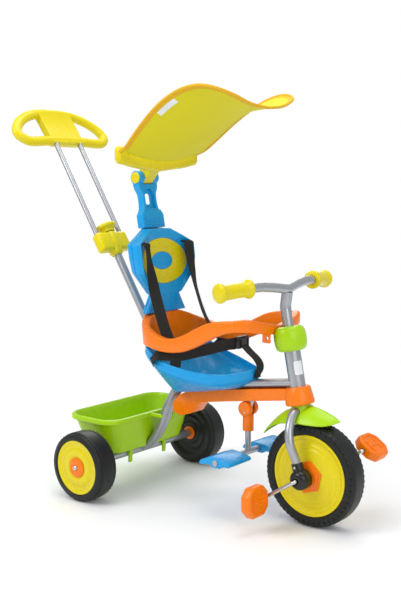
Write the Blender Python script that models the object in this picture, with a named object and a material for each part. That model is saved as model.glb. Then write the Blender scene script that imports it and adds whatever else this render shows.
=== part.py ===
"""A child's push-along tricycle: steel frame, moulded seat, guard ring, canopy, push handle and basket.

Everything is placed from the rear axle: x forward, y to the rider's left, z up from the ground.
The finished tricycle is then moved along x, so that the origin lies under the middle of its box.
"""

import math

import bmesh
import bpy
from mathutils import Matrix, Vector

# Driving dimensions, in metres
GAP = 0.0003                    # left between pieces that touch
RUNNING = 0.0008                # left between pieces that turn on each other
WALL = 0.0025                   # wall of the moulded shells

REAR_RADIUS = 0.086
REAR_WIDTH = 0.063
REAR_TRACK = 0.430              # between the middles of the rear wheels
FRONT_RADIUS = 0.120
FRONT_WIDTH = 0.056
WHEELBASE = 0.5355
AXLE_TUBE = 0.0210              # diameters
AXLE_ROD = 0.0080
FRAME_TUBE = 0.0180
FRAME_SPACING = 0.0186          # between the middles of the twin frame tubes
HEAD_TUBE = 0.0380
STEM_TUBE = 0.0260
BAR_TUBE = 0.0220
FORK_TUBE = 0.0210
CRANK_ROD = 0.0090
HANDLE_TUBE = 0.0210
HANDLE_ROD = 0.0130
HANDLE_ROD_SPACING = 0.0860
FOOTREST_TUBE = 0.0150

STEER_TILT = math.radians(11.5)
STEER_POINT = Vector((0.4691, 0.0, 0.4002))
HEAD_BOTTOM = -0.1237           # along the steering axis, from its point
HEAD_TOP = 0.0100
COLLAR_HEIGHT = 0.056
COLLAR_RADIUS = 0.038
SKIRT_TOP = -0.0840             # the orange collar round the foot of the head tube
SKIRT_BOTTOM = -0.1257
SKIRT_RADIUS = 0.0340

CRANK_RADIUS = 0.085
CRANK_ANGLE = math.radians(213)     # of the right-hand arm, seen from the right
CRANK_HALF = 0.0840             # where the rod turns into the arm
CRANK_SPLAY = 0.0045            # the arm leans out by this much
PEDAL_START = 0.0960
PEDAL_WIDTH = 0.0760
PEDAL_LENGTH = 0.0700
PEDAL_THICKNESS = 0.0240
RIGHT_PEDAL_TURN = math.radians(88)
LEFT_PEDAL_TURN = math.radians(35)

HUB_COVER_RADIUS = 0.0235
HUB_COVER_INNER = 0.0450
HUB_COVER_OUTER = 0.0770

GRIP_START = 0.1236             # along y
GRIP_LENGTH = 0.0937
GRIP_RADIUS = 0.0160
GRIP_FLANGE = 0.0220
GRIP_SWEEP = 0.223
GRIP_DROOP = 0.059

SEAT_HALF_WIDTH = 0.1200
RING_THICKNESS = 0.0200
BACK_TOP = 0.6670
NECK_BOTTOM = 0.4578
POST_LEAN = math.radians(10.6)
POST_DEPTH = 0.0220
CANOPY_PIVOT = Vector((0.0100, 0.0, 0.7950))
EAR_RADIUS = 0.0175
EAR_INNER = 0.0180
EAR_OUTER = 0.0340
CANOPY_HALF_WIDTH = 0.1700
HOOP_WIRE = 0.0070
FABRIC_THICKNESS = 0.0025

HANDLE_SLOPE = 0.632            # run back for each metre up
HANDLE_FOOT = Vector((0.1230, 0.0, 0.2565))
BRACKET_START = 0.4088          # up the handle from its foot
BRACKET_LENGTH = 0.0540
BRACKET_HALF_WIDTH = 0.0530
ROD_TOP = 0.7570
LOOP_LEAN = math.radians(37)
LOOP_FOOT = Vector((-0.2730, 0.0, 0.8780))
LOOP_THICKNESS = 0.0240
KNOB_RADIUS = 0.0290

BASKET_TOP = 0.1930
BASKET_FLOOR = 0.0970
BASKET_HALF_WIDTH = 0.1720
BASKET_REAR = -0.1200
BASKET_FRONT = 0.0500

FOOTREST_PIVOT = Vector((0.3450, 0.0, 0.2450))
FOOTREST_DROP = 0.1080
FOOTREST_HALF = 0.1300
WEBBING = 0.0270
WEBBING_THICKNESS = 0.0018

WHEEL_STEPS = 24
FRONT_STEPS = 28
COLLAR_STEPS = 16
ROUND_STEPS = 12
SMALL_STEPS = 8
TUBE_SIDES = 2                  # a bevel resolution: 8 sides
PATH_STEPS = 2                  # along each rounded corner of a tube

REAR_SIDE = REAR_TRACK / 2
FRONT_HUB = Vector((WHEELBASE, 0.0, FRONT_RADIUS))
REAR_HUB = Vector((0.0, 0.0, REAR_RADIUS))
STEER_UP = Vector((-math.sin(STEER_TILT), 0.0, math.cos(STEER_TILT)))
HANDLE_UP = Vector((-HANDLE_SLOPE, 0.0, 1.0)).normalized()
CRANK_ARM = Vector((math.cos(CRANK_ANGLE), 0.0, math.sin(CRANK_ANGLE))) * CRANK_RADIUS

SIDES = {"right": -1, "left": 1}

for old in list(bpy.data.objects):
    bpy.data.objects.remove(old, do_unlink=True)


def finish(name, colour, roughness, metallic=0.0):
    """A Principled material in one plain colour."""
    material = bpy.data.materials.new(name)
    material.use_nodes = True
    shader = material.node_tree.nodes["Principled BSDF"]
    shader.inputs["Base Color"].default_value = (*colour, 1.0)
    shader.inputs["Roughness"].default_value = roughness
    shader.inputs["Metallic"].default_value = metallic
    material.diffuse_color = (*colour, 1.0)
    return material


YELLOW = finish("yellow_plastic", (0.83, 0.66, 0.02), 0.35)
ORANGE = finish("orange_plastic", (0.90, 0.19, 0.02), 0.35)
GREEN = finish("green_plastic", (0.31, 0.62, 0.02), 0.35)
BLUE = finish("blue_plastic", (0.02, 0.28, 0.76), 0.35)
BLACK = finish("black_plastic", (0.02, 0.02, 0.02), 0.55)
TYRE = finish("tyre_plastic", (0.03, 0.035, 0.03), 0.6)
SILVER = finish("silver_paint", (0.45, 0.46, 0.48), 0.35, 0.6)
STEEL = finish("bright_steel", (0.60, 0.60, 0.60), 0.25, 1.0)
WEB = finish("black_webbing", (0.015, 0.015, 0.013), 0.85)
CANOPY = finish("yellow_fabric", (0.80, 0.62, 0.02), 0.7)


def joint_point(name, place, parent=None):
    """An empty on a joint's axis. Its children are the pieces that move."""
    empty = bpy.data.objects.new(name, None)
    empty.empty_display_size = 0.03
    bpy.context.scene.collection.objects.link(empty)
    empty.parent = parent
    empty.location = Vector(place) - (Vector(PLACES[parent.name]) if parent else Vector())
    PLACES[name] = Vector(place)
    return empty


PLACES = {}
root = joint_point("tricycle", (0, 0, 0))
steering = joint_point("steering_axis", STEER_POINT, root)
front_axis = joint_point("front_wheel_axis", FRONT_HUB, steering)
rear_axis = {side: joint_point(f"rear_wheel_axis_{side}", (0, sign * REAR_SIDE, REAR_RADIUS), root)
             for side, sign in SIDES.items()}
canopy_axis = joint_point("canopy_axis", CANOPY_PIVOT, root)
footrest_axis = joint_point("footrest_axis", FOOTREST_PIVOT, root)
KNOB_PLACE = HANDLE_FOOT + HANDLE_UP * (BRACKET_START + BRACKET_LENGTH)
knob_axis = joint_point("knob_axis", KNOB_PLACE, root)
PEDAL_MIDDLE = PEDAL_START + PEDAL_WIDTH / 2
pedal_axis = {}
for side, sign in SIDES.items():
    spindle = FRONT_HUB - sign * CRANK_ARM
    spindle.y = sign * PEDAL_MIDDLE
    pedal_axis[side] = joint_point(f"pedal_axis_{side}", spindle, front_axis)


def piece(name, bm, material, parent=None):
    """The finished mesh as an object under its joint's empty, with round faces shaded smooth."""
    parent = parent or root
    bmesh.ops.translate(bm, verts=bm.verts, vec=-PLACES[parent.name])
    mesh = bpy.data.meshes.new(name)
    bm.to_mesh(mesh)
    bm.free()
    mesh.materials.append(material)
    mesh.shade_smooth()
    mesh.set_sharp_from_angle(angle=math.radians(35))
    obj = bpy.data.objects.new(name, mesh)
    bpy.context.scene.collection.objects.link(obj)
    obj.parent = parent
    return obj


def outward(bm):
    bmesh.ops.remove_doubles(bm, verts=bm.verts, dist=1e-6)
    bmesh.ops.recalc_face_normals(bm, faces=bm.faces)
    if bm.calc_volume(signed=True) < 0:
        bmesh.ops.reverse_faces(bm, faces=bm.faces)
    return bm


def turned(profile, steps=ROUND_STEPS, centre=(0, 0, 0), axis=(0, 1, 0)):
    """A profile of (radius, height) points spun round the axis: a ring, or a solid if its ends are on it."""
    bm = bmesh.new()
    verts = [bm.verts.new((radius, 0, height)) for radius, height in profile]
    pairs = list(zip(verts, verts[1:]))
    if profile[0][0] > 0:
        pairs.append((verts[-1], verts[0]))
    edges = [bm.edges.new(pair) for pair in pairs]
    bmesh.ops.spin(bm, geom=verts + edges, axis=(0, 0, 1), cent=(0, 0, 0),
                   angle=math.tau, steps=steps, use_merge=True)
    outward(bm)
    turn = Vector((0, 0, 1)).rotation_difference(Vector(axis)).to_matrix().to_4x4()
    bmesh.ops.transform(bm, matrix=Matrix.Translation(centre) @ turn, verts=bm.verts)
    return bm


def rod(start, end, diameter, steps=ROUND_STEPS):
    """A straight round bar from one point to another."""
    start, end = Vector(start), Vector(end)
    radius = diameter / 2
    length = (end - start).length
    return turned([(0, 0), (radius, 0), (radius, length), (0, length)], steps, start, end - start)


def filleted(points, radius, arc_steps=PATH_STEPS):
    """The corners of a path rounded by arcs of one radius, or a smaller one where a leg is short."""
    points = [Vector(point) for point in points]
    path = [points[0]]
    for before, corner, after in zip(points, points[1:], points[2:]):
        back, ahead = (before - corner), (after - corner)
        half = back.angle(ahead) / 2
        cut = min(radius / math.tan(half), 0.49 * back.length, 0.49 * ahead.length)
        start, end = corner + back.normalized() * cut, corner + ahead.normalized() * cut
        middle = corner + (back.normalized() + ahead.normalized()).normalized() * cut / math.cos(half)
        arm_a, arm_b = start - middle, end - middle
        sweep = arm_a.angle(arm_b)
        for step in range(arc_steps + 1):
            share = step / arc_steps
            path.append(middle + (arm_a * math.sin((1 - share) * sweep) + arm_b * math.sin(share * sweep))
                        / math.sin(sweep))
    return path + [points[-1]]


def tube(points, diameter, bend=0.02, sides=TUBE_SIDES, arc_steps=PATH_STEPS):
    """A round tube along a path, made from a curve with a bevel and filled caps."""
    curve = bpy.data.curves.new("path", "CURVE")
    curve.dimensions = "3D"
    curve.bevel_depth = diameter / 2
    curve.bevel_resolution = sides
    curve.use_fill_caps = True
    path = filleted(points, bend, arc_steps) if bend else [Vector(point) for point in points]
    spline = curve.splines.new("POLY")
    spline.points.add(len(path) - 1)
    for point, place in zip(spline.points, path):
        point.co = (*place, 1)
    return from_curve(curve)


def from_curve(curve):
    obj = bpy.data.objects.new("path", curve)
    bpy.context.scene.collection.objects.link(obj)
    mesh = bpy.data.meshes.new_from_object(obj.evaluated_get(bpy.context.evaluated_depsgraph_get()))
    bm = bmesh.new()
    bm.from_mesh(mesh)
    bpy.data.objects.remove(obj)
    bpy.data.curves.remove(curve)
    bpy.data.meshes.remove(mesh)
    return outward(bm)


def lofted(rings, closed=False):
    """Rings of as many points each, skinned in order. The ends are capped, or joined to each other."""
    bm = bmesh.new()
    loops = [[bm.verts.new(point) for point in ring] for ring in rings]
    pairs = list(zip(loops, loops[1:]))
    if closed:
        pairs.append((loops[-1], loops[0]))
    for first, second in pairs:
        for i in range(len(first)):
            j = (i + 1) % len(first)
            bm.faces.new((first[i], first[j], second[j], second[i]))
    if not closed:
        bm.faces.new(loops[0])
        bm.faces.new(loops[-1])
    return outward(bm)


def extruded(outline, start, end, edge=0.0, segments=2):
    """A flat outline of (x, z) points made solid from y = start to y = end, with its rims rounded."""
    bm = bmesh.new()
    face = bm.faces.new([bm.verts.new((x, start, z)) for x, z in outline])
    made = bmesh.ops.extrude_face_region(bm, geom=[face])
    moved = [item for item in made["geom"] if isinstance(item, bmesh.types.BMVert)]
    bmesh.ops.translate(bm, verts=moved, vec=(0, end - start, 0))
    outward(bm)
    if edge:
        rims = [item for item in bm.edges if abs(item.verts[0].co.y - item.verts[1].co.y) < 1e-7]
        bmesh.ops.bevel(bm, geom=rims, offset=edge, segments=segments, affect="EDGES", profile=0.5)
    return bm


def box(low, high, edge=0.0):
    outline = [(low[0], low[2]), (high[0], low[2]), (high[0], high[2]), (low[0], high[2])]
    return extruded(outline, low[1], high[1], edge)


def arc(centre, radius, start, end, steps):
    """Points along an arc, with its angles in degrees."""
    angles = [math.radians(start + (end - start) * i / steps) for i in range(steps + 1)]
    return [(centre[0] + radius * math.cos(a), centre[1] + radius * math.sin(a)) for a in angles]


def moved(bm, matrix):
    bmesh.ops.transform(bm, matrix=matrix, verts=bm.verts)
    return bm


def combined(first, second, operation):
    """Two solids joined, or the second cut out of the first. A cut that takes nothing away is an error."""
    volume = first.calc_volume()
    objects = []
    for bm in (first, second):
        mesh = bpy.data.meshes.new("work")
        bm.to_mesh(mesh)
        bm.free()
        obj = bpy.data.objects.new("work", mesh)
        bpy.context.scene.collection.objects.link(obj)
        objects.append(obj)
    modifier = objects[0].modifiers.new("work", "BOOLEAN")
    modifier.solver = "EXACT"
    modifier.operation = operation
    modifier.object = objects[1]
    graph = bpy.context.evaluated_depsgraph_get()
    mesh = bpy.data.meshes.new_from_object(objects[0].evaluated_get(graph))
    result = bmesh.new()
    result.from_mesh(mesh)
    for obj in objects:
        old = obj.data
        bpy.data.objects.remove(obj)
        bpy.data.meshes.remove(old)
    bpy.data.meshes.remove(mesh)
    bmesh.ops.remove_doubles(result, verts=result.verts, dist=2e-6)
    bmesh.ops.dissolve_degenerate(result, edges=result.edges, dist=2e-6)
    if abs(result.calc_volume() - volume) < 1e-12:
        raise ValueError("a Boolean changed nothing")
    return result


def cut(solid, *cutters):
    for cutter in cutters:
        solid = combined(solid, cutter, "DIFFERENCE")
    return solid


def joined(solid, *others):
    for other in others:
        solid = combined(solid, other, "UNION")
    return solid


def mirrored(half):
    """A full loop from its left half, given from one point on the middle line to another."""
    return list(half) + [(x, -y, z) for x, y, z in reversed(half[1:-1])]


def between(table, key):
    """The values that belong to key in rows sorted by their first number, in straight lines between rows."""
    for low, high in zip(table, table[1:]):
        if key <= high[0]:
            share = max(0.0, (key - low[0]) / (high[0] - low[0]))
            return [a + (b - a) * share for a, b in zip(low[1:], high[1:])]
    return list(table[-1][1:])


def on_steering(along, forward=0.0, side=0.0):
    """A point along the steering axis, and off it."""
    across = Vector((math.cos(STEER_TILT), 0, math.sin(STEER_TILT)))
    return STEER_POINT + STEER_UP * along + across * forward + Vector((0, side, 0))


def steered(profile, steps=ROUND_STEPS):
    return turned(profile, steps, STEER_POINT, STEER_UP)


# Frame
FRAME_PATH = [(0.4780, 0.3256), (0.1660, 0.2787), (0.1180, 0.2580), (0.0900, 0.2140), (0.0710, 0.1650),
              (0.0460, 0.1240), (0.0080, 0.0880)]
BEAM_SLOPE = (FRAME_PATH[0][1] - FRAME_PATH[1][1]) / (FRAME_PATH[0][0] - FRAME_PATH[1][0])


def beam_middle(x):
    """Height of the twin tubes' middle line along the straight beam."""
    return FRAME_PATH[1][1] + BEAM_SLOPE * (x - FRAME_PATH[1][0])


def frame_tube(sign, diameter=FRAME_TUBE):
    return tube([(x, sign * FRAME_SPACING / 2, z) for x, z in FRAME_PATH], diameter, 0.035)


def head_cylinder(radius):
    return steered([(0, HEAD_BOTTOM - 0.02), (radius, HEAD_BOTTOM - 0.02), (radius, HEAD_TOP),
                    (0, HEAD_TOP)], COLLAR_STEPS)


def axle_cylinder(diameter):
    return rod((0, -REAR_SIDE, REAR_RADIUS), (0, REAR_SIDE, REAR_RADIUS), diameter)


HEAD_RADIUS = HEAD_TUBE / 2
STEM_RADIUS = STEM_TUBE / 2
for side, sign in SIDES.items():
    bare = cut(frame_tube(sign), head_cylinder(HEAD_RADIUS + GAP), axle_cylinder(AXLE_TUBE + 2 * GAP))
    piece(f"frame_tube_{side}", bare, SILVER)
piece("head_tube", steered([(HEAD_RADIUS, HEAD_BOTTOM), (HEAD_RADIUS, HEAD_TOP),
                            (STEM_RADIUS + RUNNING, HEAD_TOP), (STEM_RADIUS + RUNNING, HEAD_BOTTOM)],
                           COLLAR_STEPS), SILVER)

HUB_INNER = REAR_SIDE - REAR_WIDTH / 2
AXLE_HALF = HUB_INNER - RUNNING - 0.0030
ROD_BORE = AXLE_ROD / 2 + GAP
piece("rear_axle_tube", turned([(AXLE_TUBE / 2, -AXLE_HALF), (AXLE_TUBE / 2, AXLE_HALF),
                                (ROD_BORE, AXLE_HALF), (ROD_BORE, -AXLE_HALF)], ROUND_STEPS, REAR_HUB),
                                SILVER)
ROD_HALF = REAR_SIDE + REAR_WIDTH / 2 + 0.0005
piece("rear_axle_rod", rod((0, -ROD_HALF, REAR_RADIUS), (0, ROD_HALF, REAR_RADIUS), AXLE_ROD, SMALL_STEPS),
      STEEL)

# Headset collar
BARREL = [(0.0290, -0.0010), (0.0360, 0.0060), (COLLAR_RADIUS, 0.0180), (COLLAR_RADIUS, 0.0360),
          (0.0350, 0.0500), (0.0270, COLLAR_HEIGHT)]


def collar_solid(grow=0.0):
    outer = [(radius + grow, height) for radius, height in BARREL]
    return steered([(0, outer[0][1] - grow)] + outer + [(0, outer[-1][1] + grow)], COLLAR_STEPS)


piece("headset_collar", steered(BARREL + [(STEM_RADIUS + RUNNING, COLLAR_HEIGHT),
                                          (STEM_RADIUS + RUNNING, HEAD_TOP + GAP),
                                          (HEAD_RADIUS + GAP, HEAD_TOP + GAP),
                                          (HEAD_RADIUS + GAP, -0.0010)], COLLAR_STEPS), GREEN)

# Beam cover: an open channel under the tubes, a hook in front of the stays and a skirt round the head tube
COVER_TOP = [(0.4722, 0.3135), (0.2885, 0.2858), (0.2130, 0.2748), (0.1700, 0.2650), (0.1400, 0.2500),
             (0.1200, 0.2280)]
COVER_HOOK = [(0.1230, 0.2030), (0.1490, 0.1990), (0.1720, 0.2065), (0.1890, 0.2130), (0.1990, 0.2280)]
COVER_BOTTOM = [(0.2130, 0.2420), (0.2885, 0.2557), (0.4725, 0.2854)]
COVER_HALF = FRAME_SPACING / 2 + FRAME_TUBE / 2 + WALL
channel = extruded(COVER_TOP + COVER_HOOK + COVER_BOTTOM, -COVER_HALF, COVER_HALF)
hollow = ([(0.4800, 0.3400), (0.1800, 0.3400), (0.1430, 0.2500), (0.1225 + WALL, 0.2270),
           (0.1250 + WALL, 0.2060)]
          + [(0.1488, 0.1990 + WALL), (0.1715, 0.2065 + WALL), (0.1870, 0.2130 + WALL), (0.1965, 0.2290)]
          + [(0.2125, 0.2420 + WALL), (0.2885, 0.2557 + WALL), (0.4800, 0.2866 + WALL)])
channel = cut(channel, extruded(hollow, WALL - COVER_HALF, COVER_HALF - WALL))
for x in (0.235, 0.320, 0.400):
    top = beam_middle(x) - FRAME_TUBE / 2 - 0.0020
    rib_half = COVER_HALF - WALL + 0.001
    channel = joined(channel, box((x - 0.001, -rib_half, top - 0.020), (x + 0.001, rib_half, top)))
skirt = steered([(0, SKIRT_BOTTOM), (SKIRT_RADIUS - 0.002, SKIRT_BOTTOM),
                 (SKIRT_RADIUS, SKIRT_BOTTOM + 0.002),
                 (SKIRT_RADIUS, SKIRT_BOTTOM + 0.010), (SKIRT_RADIUS - 0.005, SKIRT_TOP - 0.003),
                 (SKIRT_RADIUS - 0.008, SKIRT_TOP), (0, SKIRT_TOP)], COLLAR_STEPS)
FRAME_CLEAR = FRAME_TUBE + 4 * GAP
channel = cut(joined(channel, skirt),
              steered([(0, -0.16), (HEAD_RADIUS + GAP, -0.16), (HEAD_RADIUS + GAP, 0.0),
                                               (0, 0.0)], COLLAR_STEPS))
piece("beam_cover", channel, ORANGE)

# Rear wheels: a hollow tyre with its own inner web, a yellow cover and an orange hub through both
HALF_TYRE = REAR_WIDTH / 2
COVER_RADIUS = REAR_RADIUS - 0.0185
HUB_RADIUS = 0.0110
REAR_TYRE = [(HUB_RADIUS + GAP, -0.0255), (0.0300, -0.0255), (0.0330, -0.0230), (0.0560, -0.0230),
             (REAR_RADIUS - 0.0180, -HALF_TYRE), (REAR_RADIUS - 0.0040, -HALF_TYRE + 0.0030),
             (REAR_RADIUS, -HALF_TYRE + 0.0130), (REAR_RADIUS, HALF_TYRE - 0.0130),
             (REAR_RADIUS - 0.0040, HALF_TYRE - 0.0030), (REAR_RADIUS - 0.0115, HALF_TYRE),
             (COVER_RADIUS + GAP, HALF_TYRE - 0.0020), (COVER_RADIUS + GAP, 0.0150),
             (HUB_RADIUS + GAP, 0.0150)]
REAR_COVER = [(HUB_RADIUS + GAP, 0.0150 + GAP), (COVER_RADIUS, 0.0150 + GAP), (COVER_RADIUS, 0.0280),
              (0.0600, 0.0275), (0.0560, 0.0245), (0.0490, 0.0250), (0.0450, 0.0275), (0.0290, 0.0275),
              (0.0265, 0.0255), (HUB_RADIUS + GAP, 0.0255)]
REAR_HUB_SPOOL = [(ROD_BORE, -HALF_TYRE + 0.0002), (0.0185, -HALF_TYRE + 0.0012), (0.0185, -0.0255 - GAP),
                  (HUB_RADIUS, -0.0255 - GAP), (HUB_RADIUS, 0.0255 + GAP), (0.0245, 0.0255 + GAP),
                  (0.0240, 0.0290), (ROD_BORE, 0.0312)]
NUT = [(0, 0.0370), (0.0040, 0.0362), (0.0065, 0.0330), (0.0065, 0.0316), (ROD_BORE, 0.0316),
       (ROD_BORE, 0.0335), (0, 0.0335)]
for side, sign in SIDES.items():
    middle = (0, sign * REAR_SIDE, REAR_RADIUS)
    outwards = (0, sign, 0)
    for name, profile, material, steps in (("rear_tyre", REAR_TYRE, TYRE, WHEEL_STEPS),
                                           ("rear_wheel_cover", REAR_COVER, YELLOW, WHEEL_STEPS),
                                           ("rear_hub", REAR_HUB_SPOOL, ORANGE, ROUND_STEPS)):
        piece(f"{name}_{side}", turned(profile, steps, middle, outwards), material, rear_axis[side])
    piece(f"axle_nut_{side}", turned(NUT, SMALL_STEPS, middle, outwards), STEEL)

# Front wheel
FRONT_DISC = FRONT_RADIUS - 0.0254
HALF_FRONT = FRONT_WIDTH / 2
CRANK_BORE = CRANK_ROD / 2 + GAP
tyre_half = [(FRONT_DISC + GAP, HALF_FRONT - 0.0040), (FRONT_DISC + 0.0080, HALF_FRONT),
             (FRONT_RADIUS - 0.0050, HALF_FRONT - 0.0025), (FRONT_RADIUS, HALF_FRONT - 0.0120)]
front_tyre = [(radius, -height) for radius, height in tyre_half]
front_tyre += [(radius, height) for radius, height in reversed(tyre_half)]
piece("front_tyre", turned(front_tyre, FRONT_STEPS, FRONT_HUB), TYRE, front_axis)
DISC = [(CRANK_BORE, GAP / 2), (FRONT_DISC, GAP / 2), (FRONT_DISC, 0.0250), (0.0880, 0.0255),
        (0.0840, 0.0225),
        (0.0750, 0.0228), (0.0655, 0.0256), (0.0625, 0.0285), (CRANK_BORE, 0.0300)]
PLATE_FACE = 0.0360
for side, sign in SIDES.items():
    outwards = (0, sign, 0)
    piece(f"front_disc_{side}", turned(DISC, FRONT_STEPS, FRONT_HUB, outwards), YELLOW, front_axis)
    corners = [(FRONT_HUB.x + 0.0400 * math.cos(math.radians(60 * i + 18)),
                FRONT_HUB.z + 0.0400 * math.sin(math.radians(60 * i + 18))) for i in range(6)]
    plate = extruded(corners, sign * (0.0300 + GAP), sign * PLATE_FACE, 0.0015, 1)
    boss = turned([(0, 0.0320), (0.0100, 0.0320), (0.0100, HUB_COVER_INNER - RUNNING),
                   (0, HUB_COVER_INNER - RUNNING)],
                  ROUND_STEPS, FRONT_HUB, outwards)
    bore = rod(FRONT_HUB, FRONT_HUB + Vector(outwards) * 0.06, 2 * CRANK_BORE, SMALL_STEPS)
    piece(f"hub_plate_{side}", cut(joined(plate, boss), bore), ORANGE, front_axis)

crank_path = [FRONT_HUB + CRANK_ARM + Vector((0, -(PEDAL_START + PEDAL_WIDTH - 0.004), 0)),
              FRONT_HUB + CRANK_ARM + Vector((0, -CRANK_HALF - CRANK_SPLAY, 0)),
              FRONT_HUB + Vector((0, -CRANK_HALF, 0)),
              FRONT_HUB + Vector((0, CRANK_HALF, 0)),
              FRONT_HUB - CRANK_ARM + Vector((0, CRANK_HALF + CRANK_SPLAY, 0)),
              FRONT_HUB - CRANK_ARM + Vector((0, PEDAL_START + PEDAL_WIDTH - 0.004, 0))]
piece("crank", tube(crank_path, CRANK_ROD, 0.006, 2, 2), STEEL, front_axis)

# Pedals: a rounded octagon block with a raised pattern in a sunk field on both faces
for side, sign in SIDES.items():
    half, reach, corner = PEDAL_WIDTH / 2, PEDAL_LENGTH / 2, 0.0170
    outline = [(-half + corner, -reach), (half - corner, -reach), (half, -reach + corner * 1.1),
               (half, reach - corner * 1.1), (half - corner, reach), (-half + corner, reach),
               (-half, reach - corner * 1.1), (-half, -reach + corner * 1.1)]
    block = extruded(outline, -PEDAL_THICKNESS / 2, PEDAL_THICKNESS / 2, 0.0030, 1)
    for face in (-1, 1):
        field = [(x * 0.74, z * 0.74) for x, z in outline]
        depth = PEDAL_THICKNESS / 2 - 0.0020
        block = cut(block, extruded(field, face * depth, face * (PEDAL_THICKNESS / 2 + 0.002)))
        for low, high in (((-0.019, -0.016), (-0.013, 0.016)), ((-0.0135, -0.003), (0.0135, 0.003)),
                          ((0.013, -0.016), (0.019, 0.016))):
            ends = sorted((face * (depth - 0.001), face * (PEDAL_THICKNESS / 2 - 0.0003)))
            block = joined(block, box((low[0], ends[0], low[1]), (high[0], ends[1], high[1])))
    # The block is drawn with its width along x and its thickness along y, then turned on to the spindle.
    block = moved(block, Matrix.Rotation(math.radians(90), 4, "Z"))
    turn = RIGHT_PEDAL_TURN if side == "right" else LEFT_PEDAL_TURN
    block = moved(block, Matrix.Rotation(turn + math.radians(90), 4, "Y"))
    middle = PLACES[f"pedal_axis_{side}"]
    block = moved(block, Matrix.Translation(middle))
    inner = Vector((middle.x, sign * (PEDAL_START - 0.002), middle.z))
    outer = Vector((middle.x, sign * (PEDAL_START + PEDAL_WIDTH - 0.0035), middle.z))
    piece(f"pedal_{side}", cut(block, rod(inner, outer, CRANK_ROD + 2 * RUNNING, SMALL_STEPS)), ORANGE,
          pedal_axis[side])

# Fork, stem and handlebar
BAR_MIDDLE = Vector((0.4550, 0, 0.5410))
bar_half = [(0.4550, 0.0000, 0.5410), (0.4470, 0.0500, 0.5480), (0.4424, 0.0850, 0.5515),
            (0.4424, 0.1120, 0.5522)]
grip_way = Vector((-math.sin(GRIP_SWEEP), math.cos(GRIP_SWEEP), -GRIP_DROOP)).normalized()
bend_point = Vector(bar_half[-1])
grip_foot = bend_point + grip_way * ((GRIP_START - bend_point.y) / grip_way.y)
bar_end = grip_foot + grip_way * (GRIP_LENGTH - 0.0060)
bar_left = [Vector(point) for point in bar_half] + [bar_end]
mirror_y = Matrix.Diagonal((1, -1, 1, 1))
bar_path = [mirror_y @ point for point in reversed(bar_left[1:])] + bar_left


def handlebar(diameter):
    return tube(bar_path, diameter, 0.025, arc_steps=1)


piece("handlebar", handlebar(BAR_TUBE), SILVER, steering)
CROWN_TOP = SKIRT_BOTTOM - 0.0015
CROWN_BOTTOM = CROWN_TOP - 0.0250
CROWN_RADIUS = 0.0175
stem_path = [on_steering(CROWN_BOTTOM + 0.004), on_steering(0.1010),
             BAR_MIDDLE + Vector((-0.0010, 0, -0.0060))]
piece("steering_stem", cut(tube(stem_path, STEM_TUBE, 0.040, 4), handlebar(BAR_TUBE + 2 * GAP)), SILVER,
      steering)

LEG_PATH = [(0.0100, 0.2575), (0.0300, 0.2625), (0.0450, 0.2500), (0.0590, 0.2280), (0.0655, 0.1990),
            (0.0600, 0.1690), (0.0568, 0.1500), (0.0565, 0.1360)]


def leg_point(side, height):
    """The legs lie in the plane of the steering axis, and their lower ends run forward to the hub."""
    x = STEER_POINT.x - math.tan(STEER_TILT) * (height - STEER_POINT.z)
    ahead = WHEELBASE - (STEER_POINT.x - math.tan(STEER_TILT) * (FRONT_RADIUS - STEER_POINT.z))
    return Vector((x + ahead * max(0.0, (0.2100 - height) / (0.2100 - FRONT_RADIUS)), side, height))


def fork_leg(sign, diameter=FORK_TUBE):
    return tube([leg_point(sign * side, height) for side, height in LEG_PATH], diameter, 0.030, arc_steps=1)


crown = steered([(STEM_RADIUS + GAP, CROWN_BOTTOM), (CROWN_RADIUS, CROWN_BOTTOM), (CROWN_RADIUS, CROWN_TOP),
                 (STEM_RADIUS + GAP, CROWN_TOP)], ROUND_STEPS)
piece("fork", joined(crown, *(cut(fork_leg(sign), steered([(0, -0.20), (STEM_RADIUS + GAP, -0.20),
                                                           (STEM_RADIUS + GAP, -0.10), (0, -0.10)],
                                                           ROUND_STEPS))
                              for sign in (-1, 1))), SILVER, steering)

GRIP_BORE = BAR_TUBE / 2 + 2 * GAP
GRIP = [(0, GRIP_LENGTH), (GRIP_FLANGE - 0.0020, GRIP_LENGTH), (GRIP_FLANGE, GRIP_LENGTH - 0.0030),
        (GRIP_FLANGE, GRIP_LENGTH - 0.0100), (GRIP_RADIUS, GRIP_LENGTH - 0.0190), (GRIP_RADIUS, 0.0190),
        (GRIP_FLANGE, 0.0100), (GRIP_FLANGE, 0.0030), (GRIP_FLANGE - 0.0020, 0.0), (GRIP_BORE, 0.0),
        (GRIP_BORE, GRIP_LENGTH - 0.0055), (0, GRIP_LENGTH - 0.0055)]
for side, sign in SIDES.items():
    flip = Matrix.Diagonal((1, sign, 1, 1))
    piece(f"grip_{side}", turned(GRIP, ROUND_STEPS, flip @ grip_foot, flip @ grip_way), YELLOW, steering)
    cover = turned([(0, HUB_COVER_INNER), (HUB_COVER_RADIUS, HUB_COVER_INNER),
                    (HUB_COVER_RADIUS, HUB_COVER_OUTER - 0.009),
                    (HUB_COVER_RADIUS - 0.004, HUB_COVER_OUTER - 0.003),
                    (HUB_COVER_RADIUS - 0.010, HUB_COVER_OUTER),
                    (0, HUB_COVER_OUTER)], COLLAR_STEPS, FRONT_HUB, (0, sign, 0))
    neck = tube([leg_point(sign * 0.0568, 0.1340), leg_point(sign * 0.0570, 0.1560)], 0.0270, 0)
    spindle_bore = rod(FRONT_HUB, FRONT_HUB + Vector((0, sign * 0.1, 0)), CRANK_ROD + 4 * RUNNING)
    cover = cut(joined(cover, neck), fork_leg(sign, FORK_TUBE + 2 * GAP), spindle_bore)
    piece(f"hub_cover_{side}", cover, BLACK, steering)

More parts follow.
